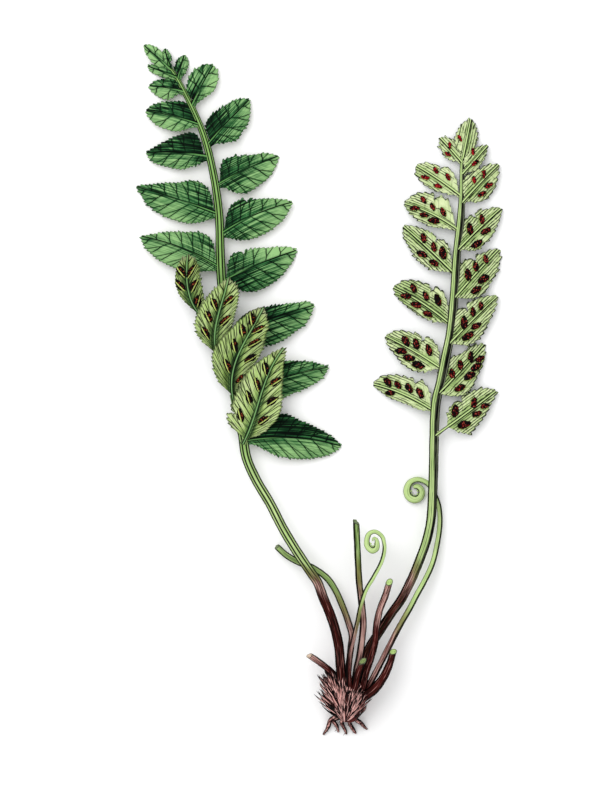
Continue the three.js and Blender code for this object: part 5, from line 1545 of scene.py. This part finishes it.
class FERN_OT_rootstock(FernStep, bpy.types.Operator):
    """Builds the rootstock: its body, its scales and its roots"""
    bl_idname = "fern.rootstock"
    bl_label = "Rootstock"

    def execute(self, context):
        colours, sizes = context.scene.fern_colours, context.scene.fern_sizes
        rng = np.random.default_rng(sizes.seed + 2)
        self.core(colours)
        shape, long = Shape(gap=0.2), sizes.scale_long * MM
        for k in range(sizes.scales):
            (self.upper_scale if k % 5 < 3 else self.lower_scale)(shape, rng, long)
        shape.piece("rootstock_scales", [root_scales(colours)], "rootstock", "rootstock")
        self.roots(colours, rng)
        return {"FINISHED"}

    def core(self, colours):
        """The body, a little smaller than the surface that the scales lie on."""
        shape = Shape()
        rows, sides = 40, 48
        ring = angles(sides)
        places = np.array([[body_at(t, a)[0] for a in ring] for t in np.linspace(0, 1, rows)])
        middle = places.mean(1, keepdims=True)
        places = middle + (places - middle) * 0.9
        first = shape.add(places, places, (0, 0, 0))
        layout = stacked(np.arange(sides + 1) * 0.6, np.arange(rows)[:, None] * 0.35)
        shape.grid(first, layout, closed=True, flip=True)
        flat = stacked(np.cos(ring), np.sin(ring)) * 3
        for end in (0, rows - 1):
            shape.cap(first + end * sides, places[end], places[end], (0, 0, 0), flat, end == 0)
        shape.piece("rootstock_body", [root_skin(colours)], "rootstock", "rootstock")

    def upper_scale(self, shape, rng, long):
        """A scale on the upper side, lying on the body and fanning out from its middle line."""
        rise = rng.random() ** 0.85
        y = mix(-12.7, -1.4, rise)
        side = mix(-1, 1, rng.random())
        x = -1.5 + side * np.interp(y, (-12.7, -10, -7, -3), (1.1, 3.0, 4.0, 3.9))
        lean = side * mix(66, 34, rise) * (1.0 if side < 0 else 0.9 if rise < 0.5 else 0.75)
        reach = long * mix(0.5, 0.8, rng.random()) * mix(0.9, 1.0, abs(side))
        if side > 0.2:
            reach *= 1.1 if rise < 0.45 else 0.6
        elif side < -0.5:
            reach *= 1.18
        lean = math.radians(lean + 22 * (rng.random() - 0.5))
        curve = -0.35 * side + 0.9 * (rng.random() - 0.5)
        lift = mix(0.25, 0.95, rng.random())
        path, steps = [], 11
        z = crown_top(x, y) - 0.15
        for s in np.linspace(0, 1, steps):
            if s:
                z = max(crown_top(x, y) + lift * s - 0.1, z - 0.16)
            path.append((x, y, z))
            angle = lean + curve * (s - 0.5)
            x += math.sin(angle) * reach / (steps - 1)
            y += math.cos(angle) * reach / (steps - 1)
        tops = [(math.sin(lean) * 0.3, 0.0, 1.0)] * steps
        tone = rng.random()
        ribbon(shape, path, tops, mix(0.2, 0.36, rng.random()), tone, rng.random() * 9)

    def lower_scale(self, shape, rng, long):
        """A scale on the flanks or the lower side, standing a little away from the body."""
        t = 0.03 + 0.9 * rng.random() ** 0.9
        angle = math.radians(mix(165, 375, rng.random()))
        side = abs(math.cos(angle))
        reach = long * (0.55 + 0.4 * rng.random())
        high = mix(0.6, 2.6, side ** 2) * (0.6 + 0.5 * rng.random())
        if math.cos(angle) > 0.3:
            high *= 0.75 if t < 0.5 else 0.25
        path, tops = [], []
        for s in np.linspace(0, 1, 8):
            place, out = body_at(min(t + reach * s * mix(0.078, 0.05, side), 1.04), angle)
            path.append(place + out * (high * s**1.5 - 0.25))
            tops.append(out)
        ribbon(shape, path, tops, 0.2 + 0.12 * rng.random(), rng.random(), rng.random() * 9)

    def roots(self, colours, rng):
        """The roots, each with a few fine threads."""
        shape = Shape(gap=0.2)
        for k, row in enumerate(ROOTS):
            path = [(x, y, z) for (x, y), z in zip(row, ROOT_HEIGHTS)]
            path = [(path[0][0] * 0.6, path[0][1] + 2.0, path[0][2] + 0.6), *path]
            points = course(path, step=0.25)
            wander = np.sin(np.arange(len(points)) * 0.35 + k)[:, None] * 0.1
            points = points + wander * np.array([1.0, 0.2, 0.4])
            stops = [(0, 1.0), (0.4, 0.72), (0.8, 0.58), (1, 0.3)]
            stem(shape, points, stops, round_section(14), seed=k * 1.7, lumps=(0.16, k * 2.1))
            for _ in range(6):
                i = int(mix(0.3, 0.98, rng.random()) * (len(points) - 1))
                way = unit([rng.normal(), -0.9 - rng.random(), 0.25 * rng.normal()])
                fine = points[i] + np.outer(np.linspace(0, 1, 8), way) * (0.6 + 0.8 * rng.random())
                fine += np.sin(np.linspace(0, 3, 8) + k)[:, None] * np.array([0.18, 0, 0.05])
                fine[:, 2] = np.maximum(fine[:, 2], 0.12)
                stem(shape, fine, [(0, 0.16), (1, 0.05)], round_section(6), seed=k)
        shape.piece("rootstock_roots", [root_threads(colours)], "rootstock", "rootstock")


class FERN_OT_stage(FernStep, bpy.types.Operator):
    """Sets up the floor, the soft light and the camera"""
    bl_idname = "fern.stage"
    bl_label = "Stage"

    def execute(self, context):
        scene, stage = context.scene, context.scene.fern_stage

        def placed(name, data):
            made = bpy.data.objects.new(name, data)
            scene.collection.objects.link(made)
            return made

        half = 1.5
        mesh = bpy.data.meshes.new("floor")
        mesh.from_pydata([(-half, -half, 0), (half, -half, 0), (half, half, 0), (-half, half, 0)],
                         [], [(0, 1, 2, 3)])
        floor = placed("floor", mesh)
        f = Finish("floor", 0.1, 0.9)
        base = f.paint(stage.floor, (f.noise(None, 60.0, 3.0) * 0.02, (0.9, 0.9, 0.9)))
        mesh.materials.append(f.finish(base))
        floor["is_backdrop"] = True
        scene.world = world = bpy.data.worlds.new("soft_sky")
        world.use_nodes = True
        back = world.node_tree.nodes["Background"].inputs
        back["Color"].default_value = (1.0, 1.0, 1.0, 1.0)
        back["Strength"].default_value = stage.sky
        lamp = bpy.data.lights.new("soft_light", "AREA")
        lamp.shape, lamp.size, lamp.energy = "DISK", 0.9, stage.light
        light = placed("soft_light", lamp)
        light.location = (-0.4, 0.45, 0.85)
        light.rotation_euler = (math.radians(-28), math.radians(-25), 0.0)
        lens = bpy.data.cameras.new("camera")
        lens.lens, lens.sensor_width, lens.sensor_fit = 150.0, 36.0, "AUTO"
        lens.clip_start, lens.clip_end = 0.05, 10.0
        scene.camera = placed("camera", lens)
        # Straight over the middle of the view, with its height counted from the leaves
        scene.camera.location = (-0.00555, -0.00282, 0.0035 + stage.far)
        scene.view_settings.view_transform = "Standard"
        return {"FINISHED"}


STEPS = [FERN_OT_left_axis, FERN_OT_left_leaflets, FERN_OT_turned_leaflets, FERN_OT_right_axis,
         FERN_OT_right_leaflets, FERN_OT_coils, FERN_OT_cut_stalks, FERN_OT_stubs,
         FERN_OT_rootstock, FERN_OT_stage]
GROUPS = {"fern_colours": FernColours, "fern_sizes": FernSizes, "fern_stage": FernStage}


class FERN_PT_panel(bpy.types.Panel):
    """Lists the steps that build the fern, with its colours and sizes"""
    bl_idname = "FERN_PT_panel"
    bl_label = "Sea spleenwort"
    bl_space_type = "VIEW_3D"
    bl_region_type = "UI"
    bl_category = "Fern"

    def draw(self, context):
        column = self.layout.column()
        for group, kind in GROUPS.items():
            for name in kind.__annotations__:
                column.prop(getattr(context.scene, group), name)
        for step in STEPS:
            column.operator(step.bl_idname)


CLASSES = [*GROUPS.values(), *STEPS, FERN_PT_panel]


def register():
    for cls in CLASSES:
        bpy.utils.register_class(cls)
    for name, group in GROUPS.items():
        setattr(bpy.types.Scene, name, bpy.props.PointerProperty(type=group))


def unregister():
    for name in GROUPS:
        delattr(bpy.types.Scene, name)
    for cls in reversed(CLASSES):
        bpy.utils.unregister_class(cls)


def main():
    register()
    for step in STEPS:
        area, name = step.bl_idname.split(".")
        getattr(getattr(bpy.ops, area), name)()
    boxes = {"cad": CAD_BOX, "visual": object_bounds()}
    {name: [list(corner) for corner in box] for name, box in boxes.items()}


if __name__ == "__main__":
    main()
